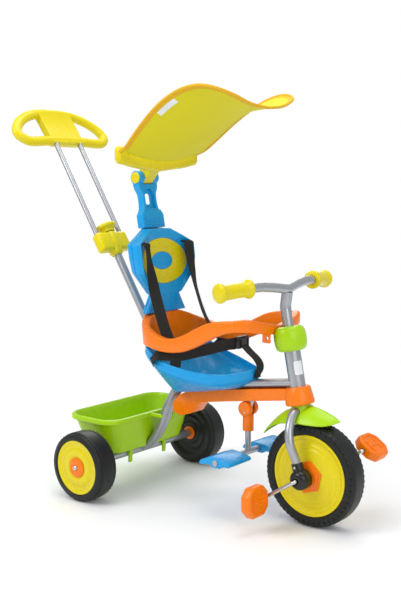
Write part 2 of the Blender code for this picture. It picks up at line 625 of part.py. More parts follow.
# Mudguard: a leaf-shaped shell over the wheel, with a neck under the skirt
MUDGUARD = [(0.3920, 0.1940, 0.0020, 0.0010), (0.4100, 0.2170, 0.0150, 0.0080),
            (0.4350, 0.2420, 0.0270, 0.0180),
            (0.4600, 0.2600, 0.0350, 0.0260), (0.4870, 0.2700, 0.0400, 0.0300),
            (0.5100, 0.2760, 0.0410, 0.0330),
            (0.5300, 0.2770, 0.0390, 0.0340), (0.5500, 0.2730, 0.0350, 0.0300),
            (0.5700, 0.2670, 0.0280, 0.0230),
            (0.5880, 0.2600, 0.0170, 0.0120), (0.6000, 0.2540, 0.0020, 0.0010)]
shell = []
for x, ridge, half, drop in MUDGUARD:
    arch = [(half * share, ridge - drop * abs(share) ** 1.7) for share in (-1, -0.7, -0.3, 0.3, 0.7, 1)]
    shell.append([(x, y, z) for y, z in arch] + [(x, y * 0.97, z - WALL) for y, z in reversed(arch)])
mudguard = lofted(shell)
neck_top = CROWN_TOP
neck = steered([(0, neck_top - 0.030), (0.0300, neck_top - 0.0250), (0.0235, neck_top - 0.0120),
                (0.0220, neck_top), (0, neck_top)], COLLAR_STEPS)
mudguard = cut(joined(mudguard, neck),
               steered([(0, -0.20), (CROWN_RADIUS + GAP, -0.20), (CROWN_RADIUS + GAP, -0.10), (0, -0.10)],
                       ROUND_STEPS),
               fork_leg(1, FORK_TUBE + 2 * RUNNING), fork_leg(-1, FORK_TUBE + 2 * RUNNING))
piece("mudguard", mudguard, GREEN, steering)

# Guard ring: one hollow band. Its rows are x at the foot, x at the top, y, foot, top and thickness.
RING = [(0.0815, 0.0715, 0.000, 0.3850, 0.4570, 0.0310), (0.0825, 0.0725, 0.045, 0.3850, 0.4565, 0.0300),
        (0.0880, 0.0810, 0.078, 0.3850, 0.4490, 0.0230), (0.1020, 0.0985, 0.103, 0.3850, 0.4370, 0.0205),
        (0.1300, 0.1290, 0.117, 0.3850, 0.4265, RING_THICKNESS),
        (0.1650, 0.1650, 0.120, 0.3810, 0.4170, RING_THICKNESS),
        (0.2000, 0.2000, 0.120, 0.3800, 0.4135, RING_THICKNESS),
        (0.2400, 0.2400, 0.120, 0.3855, 0.4250, RING_THICKNESS),
        (0.2800, 0.2800, 0.120, 0.4005, 0.4450, RING_THICKNESS),
        (0.3150, 0.3150, 0.120, 0.4180, 0.4610, RING_THICKNESS),
        (0.3500, 0.3500, 0.119, 0.4350, 0.4690, RING_THICKNESS),
        (0.3850, 0.3850, 0.114, 0.4460, 0.4730, RING_THICKNESS),
        (0.4120, 0.4120, 0.099, 0.4470, 0.4765, RING_THICKNESS),
        (0.4250, 0.4250, 0.070, 0.4420, 0.4700, RING_THICKNESS),
        (0.4290, 0.4290, 0.035, 0.4370, 0.4620, RING_THICKNESS),
        (0.4300, 0.4300, 0.000, 0.4340, 0.4560, RING_THICKNESS)]
full_ring = RING + [(a, b, -y, low, high, thick) for a, b, y, low, high, thick in reversed(RING[1:-1])]
sections = []
for i, (foot_x, top_x, y, low, high, thick) in enumerate(full_ring):
    before, after = full_ring[i - 1], full_ring[(i + 1) % len(full_ring)]
    along = Vector((after[0] - before[0], after[2] - before[2], 0)).normalized()
    across = Vector((along.y, -along.x, 0))
    half, soft = thick / 2, 0.0055
    shape = [(-half, soft), (-half + soft, 0), (half - soft, 0), (half, soft)]
    foot = Vector((foot_x, y, 0))
    top = Vector((top_x, y, 0))
    ring = [foot + across * out + Vector((0, 0, low + up)) for out, up in shape]
    ring += [top + across * out + Vector((0, 0, high - up)) for out, up in reversed(shape)]
    sections.append(ring)
ring_solid = lofted(sections, closed=True)
lug = box((0.4140, -0.0430, 0.4130), (0.4340, -0.0380, 0.4500), 0.0)
ring_solid = joined(ring_solid, lug)
ring_solid = cut(ring_solid, rod((0.4250, -0.0500, 0.4240), (0.4250, -0.0300, 0.4240), 0.0080, 12),
                 collar_solid(0.0005))
TONGUE = ((0.0610, -0.0300, 0.4350), (0.0735, 0.0300, 0.4700))
grown = 2 * GAP
ring_solid = cut(ring_solid, box([low - grown for low in TONGUE[0]], [high + grown for high in TONGUE[1]]))
piece("guard_ring", ring_solid, ORANGE)

# Seat shell: an open bucket with a saddle nose. Its rear rim tucks up under the guard ring.
RIM_HALF = [(0.0800, 0.000, 0.3842), (0.0815, 0.045, 0.3842), (0.0890, 0.078, 0.3842),
            (0.1030, 0.102, 0.3842),
            (0.1280, 0.116, 0.3740), (0.1560, 0.120, 0.3600), (0.1900, 0.120, 0.3500),
            (0.2250, 0.114, 0.3430),
            (0.2600, 0.103, 0.3370), (0.3000, 0.084, 0.3330), (0.3300, 0.060, 0.3340),
            (0.3520, 0.036, 0.3390),
            (0.3660, 0.016, 0.3430), (0.3700, 0.000, 0.3440)]
rim = [Vector(point) for point in mirrored(RIM_HALF)]
seat_middle = Vector((0.2200, 0, 0))
HULL_DEPTH = FRAME_TUBE + 0.0010


def towards_middle(point, distance):
    flat = Vector((seat_middle.x - point.x, -point.y, 0))
    return point + flat.normalized() * distance


def spread(point, low_x, high_x, half):
    """The rim's outline drawn in to a smaller one between two x and a half width."""
    share = (point.x - RIM_HALF[0][0]) / (RIM_HALF[-1][0] - RIM_HALF[0][0])
    return low_x + (high_x - low_x) * share, point.y * half / SEAT_HALF_WIDTH


def hull_point(point):
    x, y = spread(point, 0.1500, 0.3380, 0.0480)
    return Vector((x, y, beam_middle(x) + FRAME_TUBE / 2 - HULL_DEPTH))


def floor_point(point):
    x, y = spread(point, 0.1700, 0.3100, 0.0600)
    return Vector((x, y, beam_middle(x) + FRAME_TUBE / 2 + 0.0060))


def inner_drop(x):
    return 0.0040 + 0.0160 * min(1.0, max(0.0, (0.3700 - x) / 0.0900))


outer_low = [towards_middle(point, 0.0010) + Vector((0, 0, -0.0220)) for point in rim]
inner_high = [towards_middle(point, 0.0035) for point in rim]
inner_low = [towards_middle(point, 0.0050) + Vector((0, 0, -inner_drop(point.x))) for point in rim]
seat = lofted([[hull_point(point) for point in rim], outer_low, rim, inner_high, inner_low,
               [floor_point(point) for point in rim]])
under_beam = [(x, beam_middle(x)) for x in (0.166, 0.420)]
under_beam += [(0.420, 0.200), (0.100, 0.200), (0.100, 0.240), (0.1180, 0.2580)]
slot_half = FRAME_SPACING / 2 + FRAME_TUBE / 2 + 4 * GAP
seat = cut(seat, extruded(under_beam, -slot_half, slot_half), frame_tube(1, FRAME_CLEAR),
           frame_tube(-1, FRAME_CLEAR))
piece("seat_shell", seat, BLUE)

# Backrest: two shells that meet on a curved seam, the front one a dish with a raised rim. Rows are height,
# half width, seam x at the edge, how far the seam is dished, depth of the rim, of its foot and of the
# middle in front of the seam, and depth behind the seam's edge.
BACK = [(NECK_BOTTOM, 0.0770, 0.0750, 0.0000, 0.0115, 0.0118, 0.0120, 0.0160),
        (0.4800, 0.0640, 0.0750, 0.0000, 0.0105, 0.0108, 0.0110, 0.0170),
        (0.5020, 0.0510, 0.0750, 0.0000, 0.0105, 0.0108, 0.0110, 0.0190),
        (0.5060, 0.0580, 0.0750, 0.0020, 0.0150, 0.0135, 0.0120, 0.0210),
        (0.5600, 0.1040, 0.0735, 0.0130, 0.0250, 0.0140, 0.0100, 0.0270),
        (0.5950, 0.1090, 0.0700, 0.0155, 0.0275, 0.0140, 0.0090, 0.0290),
        (0.6300, 0.1100, 0.0645, 0.0140, 0.0270, 0.0180, 0.0110, 0.0280),
        (0.6480, 0.0780, 0.0605, 0.0060, 0.0180, 0.0160, 0.0120, 0.0290),
        (BACK_TOP, 0.0410, 0.0550, 0.0010, 0.0080, 0.0080, 0.0080, 0.0310)]
SEAM_GAP = GAP / 2


def seam_x(y, half, seam, dish):
    return seam - dish * (1 - min(1.0, abs(y) / half) ** 2)


def front_points(half, seam, dish, rim, foot, middle):
    """Half of the front shell's section, from its middle out: side and x of each point."""
    places = [(half * 0.42, middle), (half * 0.78, foot), (half * 0.92, rim)]
    points = [(y, seam_x(y, half, seam, dish) + depth) for y, depth in places]
    return points + [(half - 0.0012, seam + rim * 0.45)]


def back_shell(front):
    rings = []
    for height, half, seam, dish, rim, foot, middle, behind in BACK:
        seam_half = [(half * share, seam_x(half * share, half, seam, dish))
                     for share in (0.0, 0.42, 0.78, 1.0)]
        if front:
            seam_side = [(y, x + SEAM_GAP) for y, x in seam_half]
            outer = front_points(half, seam, dish, rim, foot, middle)
        else:
            seam_side = [(y, x - SEAM_GAP) for y, x in seam_half]
            outer = [(half * 0.4, seam - behind * 1.05), (half - min(0.0160, half * 0.3), seam - behind),
                     (half - 0.0015, seam - behind * 0.45)]
        left = outer + seam_side[:0:-1] + seam_side[:1]
        right = [(-y, x) for y, x in reversed(outer + seam_side[:0:-1])]
        rings.append([(x, y, height) for y, x in left + right])
    return lofted(rings)


def face_x(height, y):
    """Where the front shell's face lies at a height and a distance from the middle."""
    half, seam, dish, rim, foot, middle, behind = between(BACK, height)
    points = front_points(half, seam, dish, rim, foot, middle)
    return between([(0.0, points[0][1])] + points, abs(y))[0]


INLAY_MIDDLE = 0.5865
INLAY_WIDE, INLAY_HIGH = 0.0850, 0.0610
HOLE_WIDE, HOLE_HIGH = 0.0400, 0.0235
INLAY_DEPTH = 0.0030


def inlay_solid(grow, back, front):
    """An oval ring that follows the face of the backrest."""
    rings = []
    for i in range(FRONT_STEPS):
        turn = math.tau * i / FRONT_STEPS
        row = []
        for wide, high, out in ((INLAY_WIDE + grow, INLAY_HIGH + grow, front),
                                (HOLE_WIDE - grow, HOLE_HIGH - grow, front),
                                (HOLE_WIDE - grow, HOLE_HIGH - grow, back),
                                (INLAY_WIDE + grow, INLAY_HIGH + grow, back)):
            y, z = wide * math.cos(turn), INLAY_MIDDLE + high * math.sin(turn)
            row.append((face_x(z, y) + out, y, z))
        rings.append(row)
    return lofted(rings, closed=True)


STRAP_SLOT_HEIGHT = 0.6325
STRAP_SIDE = 0.0820
SLOT_DEEP = 0.0650              # x of the slots' blind end
front_shell = cut(back_shell(True), inlay_solid(2 * GAP, -INLAY_DEPTH - 5 * GAP, 0.0100))
rear_shell = back_shell(False)
for sign in (-1, 1):
    middle = sign * STRAP_SIDE
    slot_wide, slot_high = WEBBING / 2 + GAP, WEBBING_THICKNESS / 2 + 2 * GAP
    low = (SLOT_DEEP, middle - slot_wide, STRAP_SLOT_HEIGHT - slot_high)
    high = (0.1150, middle + slot_wide, STRAP_SLOT_HEIGHT + slot_high)
    front_shell = cut(front_shell, box(low, high))
piece("backrest_front", front_shell, BLUE)
rear_shell = joined(rear_shell, box((TONGUE[0][0], TONGUE[0][1], TONGUE[0][2]), TONGUE[1]))
piece("backrest_rear", rear_shell, BLUE)
piece("backrest_inlay", inlay_solid(0.0, -INLAY_DEPTH, 0.0006), YELLOW)

# Canopy post: drawn upright over its own foot, then leaned back on to the pivot
pivot_rise = 0.1292
post_outline = [(-0.0390, 0), (0.0390, 0), (0.0390, 0.0340), (0.0260, 0.0480), (0.0260, 0.0850),
                (EAR_OUTER, 0.1010),
                (EAR_OUTER, pivot_rise), (-EAR_OUTER, pivot_rise), (-EAR_OUTER, 0.1010), (-0.0260, 0.0850),
                (-0.0260, 0.0480), (-0.0390, 0.0340)]
post = extruded(post_outline, -POST_DEPTH / 2, POST_DEPTH / 2, 0.0020, 1)
post = moved(post, Matrix.Rotation(math.radians(90), 4, "Z"))
post = joined(post, turned([(0, -EAR_OUTER), (EAR_RADIUS, -EAR_OUTER), (EAR_RADIUS, EAR_OUTER),
                            (0, EAR_OUTER)],
                           ROUND_STEPS, (0, 0, pivot_rise)))
tongue_gap = box((-0.03, -EAR_INNER, 0.1050), (0.03, EAR_INNER, 0.1600))
slot = arc((0.0, 0.0670), 0.0105, -180, 0, 6) + arc((0.0, 0.0840), 0.0105, 0, 180, 6)
slot = moved(extruded(slot, -0.03, 0.03), Matrix.Rotation(math.radians(90), 4, "Z"))
post = cut(post, tongue_gap, slot, rod((0, -0.05, pivot_rise), (0, 0.05, pivot_rise), 0.0080 + 2 * GAP))
for height in (0.0090, 0.0170, 0.0250):
    rib = box((POST_DEPTH / 2 - 0.0010, -0.0330, height - 0.0018),
              (POST_DEPTH / 2 + 0.0015, 0.0330, height + 0.0018))
    post = joined(post, rib)
post_foot = CANOPY_PIVOT - Matrix.Rotation(-POST_LEAN, 3, "Y") @ Vector((0, 0, pivot_rise))
post = moved(post, Matrix.Translation(post_foot) @ Matrix.Rotation(-POST_LEAN, 4, "Y"))
floor_cut = box((-0.05, -0.06, 0.60), (0.12, 0.06, BACK_TOP + GAP))
piece("canopy_post", cut(post, floor_cut), BLUE)
PIN_BORE = 0.0080 / 2
CAP_RADIUS, CAP_THICK = 0.0145, 0.0026
pin_half = [(PIN_BORE, 0), (PIN_BORE, EAR_OUTER + GAP), (CAP_RADIUS, EAR_OUTER + GAP),
            (CAP_RADIUS, EAR_OUTER + GAP + CAP_THICK), (0, EAR_OUTER + GAP + CAP_THICK)]
pin_profile = [(radius, -height) for radius, height in reversed(pin_half[1:])] + pin_half[1:]
piece("canopy_pin", turned(pin_profile, ROUND_STEPS, CANOPY_PIVOT), YELLOW)

# Canopy bracket: a tongue round the pin, and a wing that the canopy's hoop plugs into
WING = [(0.0480, 0.000, 0.8270, 0.0240, 0.0340), (0.0500, 0.050, 0.8300, 0.0230, 0.0300),
        (0.0540, 0.100, 0.8390, 0.0220, 0.0270), (0.0550, 0.128, 0.8460, 0.0220, 0.0300),
        (0.0550, 0.145, 0.8475, 0.0220, 0.0330)]
wing_rings = []
for x, y, z, wide, tall in [(x, -y, z, wide, tall) for x, y, z, wide, tall in reversed(WING[1:])] + WING:
    a, b, c = wide / 2, tall / 2, 0.0050
    shape = [(-a, -b + c), (-a + c, -b), (a - c, -b), (a, -b + c), (a, b - c), (a - c, b), (-a + c, b),
             (-a, b - c)]
    wing_rings.append([(x + dx, y, z + dz) for dx, dz in shape])
TONGUE_RADIUS = 0.0165
tongue_half = EAR_INNER - 2 * GAP
pivot_xz = (CANOPY_PIVOT.x, CANOPY_PIVOT.z)
tongue_outline = arc(pivot_xz, TONGUE_RADIUS, 120, 330, 12) + [(0.0460, 0.8120), (0.0500, 0.8420),
                                                               (0.0380, 0.8420)]
bracket = joined(lofted(wing_rings), extruded(tongue_outline, -tongue_half, tongue_half))
bracket = cut(bracket, rod(CANOPY_PIVOT - Vector((0, 0.05, 0)), CANOPY_PIVOT + Vector((0, 0.05, 0)),
                           0.0080 + 2 * GAP))

SIDE_EDGE = [(0.0550, 0.1400, 0.8550), (0.0700, 0.1440, 0.8590), (0.0900, 0.1500, 0.8690),
             (0.1200, 0.1570, 0.8930),
             (0.1600, 0.1630, 0.9250), (0.2000, 0.1680, 0.9530), (0.2400, CANOPY_HALF_WIDTH, 0.9750),
             (0.2800, 0.1690, 0.9900), (0.3200, 0.1640, 0.9960), (0.3500, 0.1530, 0.9920),
             (0.3720, 0.1330, 0.9830), (0.3850, 0.1030, 0.9720), (0.3900, 0.0600, 0.9590),
             (0.3920, 0.0000, 0.9530)]
MIDDLE_LINE = [(0.0550, 0.8330), (0.0800, 0.8400), (0.1500, 0.8750), (0.2000, 0.9050), (0.2800, 0.9400),
               (0.3400, 0.9500), (0.3920, 0.9530)]


def hoop(diameter):
    left = [Vector(point) for point in SIDE_EDGE]
    right = [mirror_y @ point for point in reversed(left[:-1])]
    return tube(left + right, diameter, 0, 1)


bracket = cut(bracket, hoop(HOOP_WIRE + 2 * GAP))
piece("canopy_bracket", bracket, YELLOW, canopy_axis)
hoop_solid = hoop(HOOP_WIRE)
piece("canopy_hoop", hoop_solid, ORANGE, canopy_axis)

fabric_rows = []
FABRIC_START = 0.0555 + 0.0110 + GAP
fabric_edge = [row for row in SIDE_EDGE if row[0] > FABRIC_START and row[1] > 0.09]
stations = [(FABRIC_START, *between(SIDE_EDGE, FABRIC_START))] + fabric_edge
edge_in = HOOP_WIRE / 2 + 0.0006
for x, half, edge_z in stations:
    x = min(x, 0.3860)
    centre_z = between(MIDDLE_LINE, x)[0]
    inner_half = half - edge_in
    if x > 0.36:
        inner_half -= 0.0030
    row = []
    for share in (-1, -0.7, -0.35, 0, 0.35, 0.7, 1):
        z = centre_z + (edge_z - centre_z) * share ** 2
        row.append((x, inner_half * share, z))
    fabric_rows.append(row)
fabric_rings = [[(x, y, z + FABRIC_THICKNESS / 2) for x, y, z in row]
                + [(x, y, z - FABRIC_THICKNESS / 2) for x, y, z in reversed(row)] for row in fabric_rows]
fabric = lofted(fabric_rings)
piece("canopy_fabric", cut(fabric, hoop(HOOP_WIRE + 2 * GAP)), CANOPY, canopy_axis)

# Push handle
def up_handle(distance, side=0.0, forward=0.0):
    across = Vector((HANDLE_UP.z, 0, -HANDLE_UP.x))
    return HANDLE_FOOT + HANDLE_UP * distance + Vector((0, side, 0)) + across * forward


LOWER_TOP = BRACKET_START + 0.0400
ROD_FOOT = BRACKET_START + 0.0150
lower = cut(rod(up_handle(0.0060), up_handle(LOWER_TOP), HANDLE_TUBE), frame_tube(1, FRAME_CLEAR),
            frame_tube(-1, FRAME_CLEAR))
piece("handle_lower_tube", lower, SILVER)
SOCKET_WALL = 0.0025
socket_radius = HANDLE_TUBE / 2 + GAP + SOCKET_WALL
socket = turned([(HANDLE_TUBE / 2 + GAP, 0.0), (socket_radius, 0.0), (socket_radius, 0.0620),
                 (HANDLE_TUBE / 2 + GAP, 0.0620)], ROUND_STEPS, up_handle(0.0060), HANDLE_UP)
piece("handle_socket", cut(socket, frame_tube(1, FRAME_CLEAR), frame_tube(-1, FRAME_CLEAR)), SILVER)

rod_side = HANDLE_ROD_SPACING / 2
body_half = BRACKET_HALF_WIDTH
block_outline = [(-body_half, -0.0110), (-body_half + 0.006, -0.0150), (body_half - 0.006, -0.0150),
                 (body_half, -0.0110), (body_half, 0.0110), (body_half - 0.006, 0.0150),
                 (-body_half + 0.006, 0.0150), (-body_half, 0.0110)]
bracket_rings = []
for distance, shrink in ((0.0, 0.94), (0.003, 1.0), (BRACKET_LENGTH - 0.003, 1.0), (BRACKET_LENGTH, 0.94)):
    bracket_rings.append([up_handle(BRACKET_START + distance, y * shrink, forward * shrink)
                          for y, forward in block_outline])
handle_bracket = lofted(bracket_rings)
barrel = turned([(0, -0.0120), (0.0145, -0.0120), (0.0185, -0.0040), (0.0185, BRACKET_LENGTH - 0.004),
                 (0.0165, BRACKET_LENGTH), (0, BRACKET_LENGTH)], ROUND_STEPS, up_handle(BRACKET_START),
                 HANDLE_UP)
handle_bracket = joined(handle_bracket, barrel)
handle_bracket = cut(handle_bracket, rod(up_handle(BRACKET_START - 0.05), up_handle(LOWER_TOP + GAP),
                                         HANDLE_TUBE + 2 * GAP))
for sign in (-1, 1):
    handle_bracket = cut(handle_bracket,
                         rod(up_handle(ROD_FOOT - GAP, sign * rod_side),
                             up_handle(ROD_TOP, sign * rod_side),
                                             HANDLE_ROD + 2 * GAP, SMALL_STEPS))
handle_bracket = cut(handle_bracket,
                     rod(up_handle(BRACKET_START + 0.046), up_handle(BRACKET_START + 0.08), 0.0130,
                         SMALL_STEPS))
piece("handle_bracket", handle_bracket, YELLOW)
for side, sign in SIDES.items():
    piece(f"handle_rod_{side}", rod(up_handle(ROD_FOOT, sign * rod_side),
                                    up_handle(ROD_TOP, sign * rod_side),
                                    HANDLE_ROD, SMALL_STEPS), SILVER)
KNOB = [(0, -0.0070), (0.0060, -0.0070), (0.0060, RUNNING), (0.0150, RUNNING), (0.0165, 0.0100),
        (0.0260, 0.0125),
        (KNOB_RADIUS, 0.0150), (KNOB_RADIUS, 0.0210), (0, 0.0250)]
piece("handle_knob", turned(KNOB, COLLAR_STEPS, KNOB_PLACE, HANDLE_UP), YELLOW, knob_axis)

LOOP_OUTLINE = [(0.0000, 0.1280), (0.0500, 0.1260), (0.1000, 0.1130), (0.1440, 0.0860), (0.1680, 0.0530),
                (0.1660, 0.0270), (0.1450, 0.0080), (0.1180, 0.0020), (0.0600, 0.0060), (0.0000, 0.0070)]
LOOP_HOLE = [(0.0560, 0.0380), (0.0560, 0.0920), (0.0900, 0.0870), (0.1200, 0.0730), (0.1400, 0.0510),
             (0.1300, 0.0370), (0.0900, 0.0350)]
LOOP_ROUND = 0.0080


def drawn_curve(loops, depth, edge):
    """A flat curve with holes, filled, thickened and rounded by its bevel."""
    curve = bpy.data.curves.new("outline", "CURVE")
    curve.dimensions = "2D"
    curve.fill_mode = "BOTH"
    curve.extrude = depth / 2 - edge
    curve.bevel_depth = edge
    curve.bevel_resolution = 0
    curve.offset = -edge
    curve.resolution_u = 2
    for loop in loops:
        spline = curve.splines.new("BEZIER")
        spline.bezier_points.add(len(loop) - 1)
        for point, (x, y) in zip(spline.bezier_points, loop):
            point.co = (x, y, 0)
            point.handle_left_type = "AUTO"
            point.handle_right_type = "AUTO"
        spline.use_cyclic_u = True
    return from_curve(curve)


outer_loop = LOOP_OUTLINE + [(-x, z) for x, z in reversed(LOOP_OUTLINE[1:-1])]
loops = [outer_loop, LOOP_HOLE, [(-x, z) for x, z in reversed(LOOP_HOLE)]]
loop_up = Vector((-math.sin(LOOP_LEAN), 0, math.cos(LOOP_LEAN)))
loop_out = Vector((math.cos(LOOP_LEAN), 0, math.sin(LOOP_LEAN)))
loop_turn = Matrix(((0, loop_up.x, loop_out.x, LOOP_FOOT.x), (1, 0, 0, 0),
                    (0, loop_up.z, loop_out.z, LOOP_FOOT.z), (0, 0, 0, 1)))
loop_solid = moved(drawn_curve(loops, LOOP_THICKNESS, LOOP_ROUND), loop_turn)
for sign in (-1, 1):
    loop_solid = cut(loop_solid, rod(up_handle(0.60, sign * rod_side),
                                     up_handle(ROD_TOP + GAP, sign * rod_side),
                                     HANDLE_ROD + 2 * GAP, SMALL_STEPS))
piece("handle_loop", loop_solid, YELLOW)

# Basket
def tub_ring(low_x, high_x, half, height, corner):
    """A rectangle with round corners, level with the ground."""
    points = []
    for centre, start in (((high_x - corner, half - corner), 0), ((low_x + corner, half - corner), 90),
                          ((low_x + corner, -half + corner), 180),
                          ((high_x - corner, -half + corner), 270)):
        points += [(x, y, height) for x, y in arc(centre, corner, start, start + 90, 4)]
    return points


LIP_HEIGHT, LIP_REACH = 0.0120, 0.0090
tub_outside = lofted([
    tub_ring(-0.0850, 0.0230, 0.1280, BASKET_FLOOR, 0.0300),
    tub_ring(-0.0920, 0.0280, 0.1380, BASKET_FLOOR + 0.0080, 0.0360),
    tub_ring(BASKET_REAR + LIP_REACH, BASKET_FRONT - LIP_REACH, BASKET_HALF_WIDTH - LIP_REACH,
             BASKET_TOP - LIP_HEIGHT, 0.0420),
    tub_ring(BASKET_REAR, BASKET_FRONT, BASKET_HALF_WIDTH, BASKET_TOP - LIP_HEIGHT, 0.0480),
    tub_ring(BASKET_REAR, BASKET_FRONT, BASKET_HALF_WIDTH, BASKET_TOP - 0.0030, 0.0480),
    tub_ring(BASKET_REAR + 0.0030, BASKET_FRONT - 0.0030, BASKET_HALF_WIDTH - 0.0030, BASKET_TOP, 0.0450)])
wall = LIP_REACH + WALL
tub_inside = lofted([
    tub_ring(-0.0850 + WALL, 0.0230 - WALL, 0.1280 - WALL, BASKET_FLOOR + WALL, 0.0280),
    tub_ring(-0.0920 + WALL, 0.0280 - WALL, 0.1380 - WALL, BASKET_FLOOR + 0.0090, 0.0340),
    tub_ring(BASKET_REAR + wall, BASKET_FRONT - wall, BASKET_HALF_WIDTH - wall, BASKET_TOP - LIP_HEIGHT,
             0.0400),
    tub_ring(BASKET_REAR + wall - 0.004, BASKET_FRONT - wall + 0.004, BASKET_HALF_WIDTH - wall + 0.004,
             BASKET_TOP + 0.01, 0.0440)])
STAY_ROOM = FRAME_TUBE + 0.0050
for sign in (-1, 1):
    tub_inside = cut(tub_inside, frame_tube(sign, STAY_ROOM + 2 * WALL))
    tub_outside = cut(tub_outside, frame_tube(sign, STAY_ROOM))
basket = cut(tub_outside, tub_inside)
clip_x = AXLE_TUBE / 2 + GAP
for sign in (-1, 1):
    clip = extruded([(clip_x, 0.0640), (clip_x + 0.0035, 0.0620), (clip_x + 0.0080, BASKET_FLOOR + 0.0060),
                     (clip_x, BASKET_FLOOR + 0.0060)], sign * 0.0650 - 0.0060, sign * 0.0650 + 0.0060)
    hook_side = FRAME_SPACING / 2 + FRAME_TUBE / 2 + 0.0006
    finger = box((BASKET_FRONT - 0.0060, hook_side, 0.1820),
                 (0.0860, hook_side + 0.0060, BASKET_TOP - 0.0020))
    if sign < 0:
        finger = moved(finger, mirror_y)
        outward(finger)
    basket = joined(basket, clip, finger)
piece("basket", basket, GREEN)

# Footrest: a steel bracket with its pin, two shells round the post, and a pad at each end of the bar
PIN_RADIUS = 0.0035
BRACKET_HALF = 0.0060
pivot_xz = (FOOTREST_PIVOT.x, FOOTREST_PIVOT.z)
slope = (COVER_BOTTOM[2][1] - COVER_BOTTOM[1][1]) / (COVER_BOTTOM[2][0] - COVER_BOTTOM[1][0])
cover_under = COVER_BOTTOM[1][1] + slope * (FOOTREST_PIVOT.x - COVER_BOTTOM[1][0])
tab_top = cover_under - GAP
tab = arc(pivot_xz, 0.0120, 180, 360, 10) + [(FOOTREST_PIVOT.x + 0.0120, tab_top + slope * 0.0120),
                                             (FOOTREST_PIVOT.x - 0.0120, tab_top - slope * 0.0120)]
PIN_HALF = 0.0175
tab_solid = extruded(tab, -BRACKET_HALF, BRACKET_HALF)
tab_solid = joined(tab_solid, rod(FOOTREST_PIVOT - Vector((0, PIN_HALF, 0)),
                                  FOOTREST_PIVOT + Vector((0, PIN_HALF, 0)),
                                  2 * PIN_RADIUS, SMALL_STEPS))
piece("footrest_bracket", tab_solid, STEEL)
EAR = 0.0180
SLEEVE = 0.0135
sleeve_bottom = FOOTREST_PIVOT.z - 0.0550
for side, sign in SIDES.items():
    disc = turned([(0, BRACKET_HALF + RUNNING), (EAR, BRACKET_HALF + RUNNING), (EAR, 0.0165),
                   (EAR - 0.003, 0.0195),
                   (0, 0.0195)], COLLAR_STEPS, FOOTREST_PIVOT, (0, sign, 0))
    column = rod((FOOTREST_PIVOT.x, 0, sleeve_bottom), (FOOTREST_PIVOT.x, 0, FOOTREST_PIVOT.z - 0.0140),
                 2 * SLEEVE, ROUND_STEPS)
    other_half = box((0.30, min(0, -sign * 0.03) if sign > 0 else -GAP / 2, 0.15),
                     (0.39, GAP / 2 if sign > 0 else 0.03, 0.26))
    column = cut(column, other_half)
    shell = joined(disc, column)
    room = rod((FOOTREST_PIVOT.x, 0, sleeve_bottom - 0.02),
               (FOOTREST_PIVOT.x, 0, FOOTREST_PIVOT.z - 0.0190),
               FOOTREST_TUBE + 2 * GAP, ROUND_STEPS)
    pin_room = rod(FOOTREST_PIVOT, FOOTREST_PIVOT + Vector((0, sign * (PIN_HALF + GAP), 0)),
                   2 * PIN_RADIUS + 2 * GAP, SMALL_STEPS)
    piece(f"footrest_shell_{side}", cut(shell, room, pin_room), ORANGE, footrest_axis)
bar_height = FOOTREST_PIVOT.z - FOOTREST_DROP
post_solid = rod((FOOTREST_PIVOT.x, 0, bar_height), (FOOTREST_PIVOT.x, 0, FOOTREST_PIVOT.z - 0.0195),
                 FOOTREST_TUBE, ROUND_STEPS)
bar_solid = rod((FOOTREST_PIVOT.x, -FOOTREST_HALF, bar_height),
                (FOOTREST_PIVOT.x, FOOTREST_HALF, bar_height),
                FOOTREST_TUBE - 0.0004, ROUND_STEPS)
piece("footrest_post", joined(bar_solid, post_solid), SILVER, footrest_axis)
PAD_INNER, PAD_OUTER = 0.0420, 0.1280
for side, sign in SIDES.items():
    x, z = FOOTREST_PIVOT.x, bar_height
    outline = [(x - 0.0500, z - 0.0080), (x - 0.0440, z - 0.0100), (x - 0.0150, z - 0.0060),
               (x - 0.0120, z - 0.0120),
               (x + 0.0120, z - 0.0120), (x + 0.0180, z - 0.0050), (x + 0.0370, z - 0.0060),
               (x + 0.0430, z - 0.0010),
               (x + 0.0390, z + 0.0050), (x + 0.0150, z + 0.0110), (x - 0.0150, z + 0.0130),
               (x - 0.0450, z + 0.0010)]
    ends = sorted((sign * PAD_INNER, sign * PAD_OUTER))
    pad = extruded(outline, ends[0], ends[1], 0.0020, 1)
    room = rod((x, sign * (PAD_INNER - 0.02), z), (x, sign * (PAD_OUTER + 0.02), z),
               FOOTREST_TUBE + 2 * GAP, ROUND_STEPS)
    piece(f"footrest_pad_{side}", cut(pad, room), BLUE, footrest_axis)

# Harness: flat webbing
def webbing(rows):
    """A strap through rows of (place, direction across its width)."""
    rings = []
    places = [Vector(place) for place, _ in rows]
    for i, (place, across) in enumerate(rows):
        along = (places[min(i + 1, len(rows) - 1)] - places[max(i - 1, 0)]).normalized()
        across = Vector(across)
        across = (across - along * across.dot(along)).normalized() * WEBBING / 2
        normal = along.cross(across).normalized() * WEBBING_THICKNESS / 2
        rings.append([places[i] + across + normal, places[i] - across + normal,
                      places[i] - across - normal, places[i] + across - normal])
    return lofted(rings)


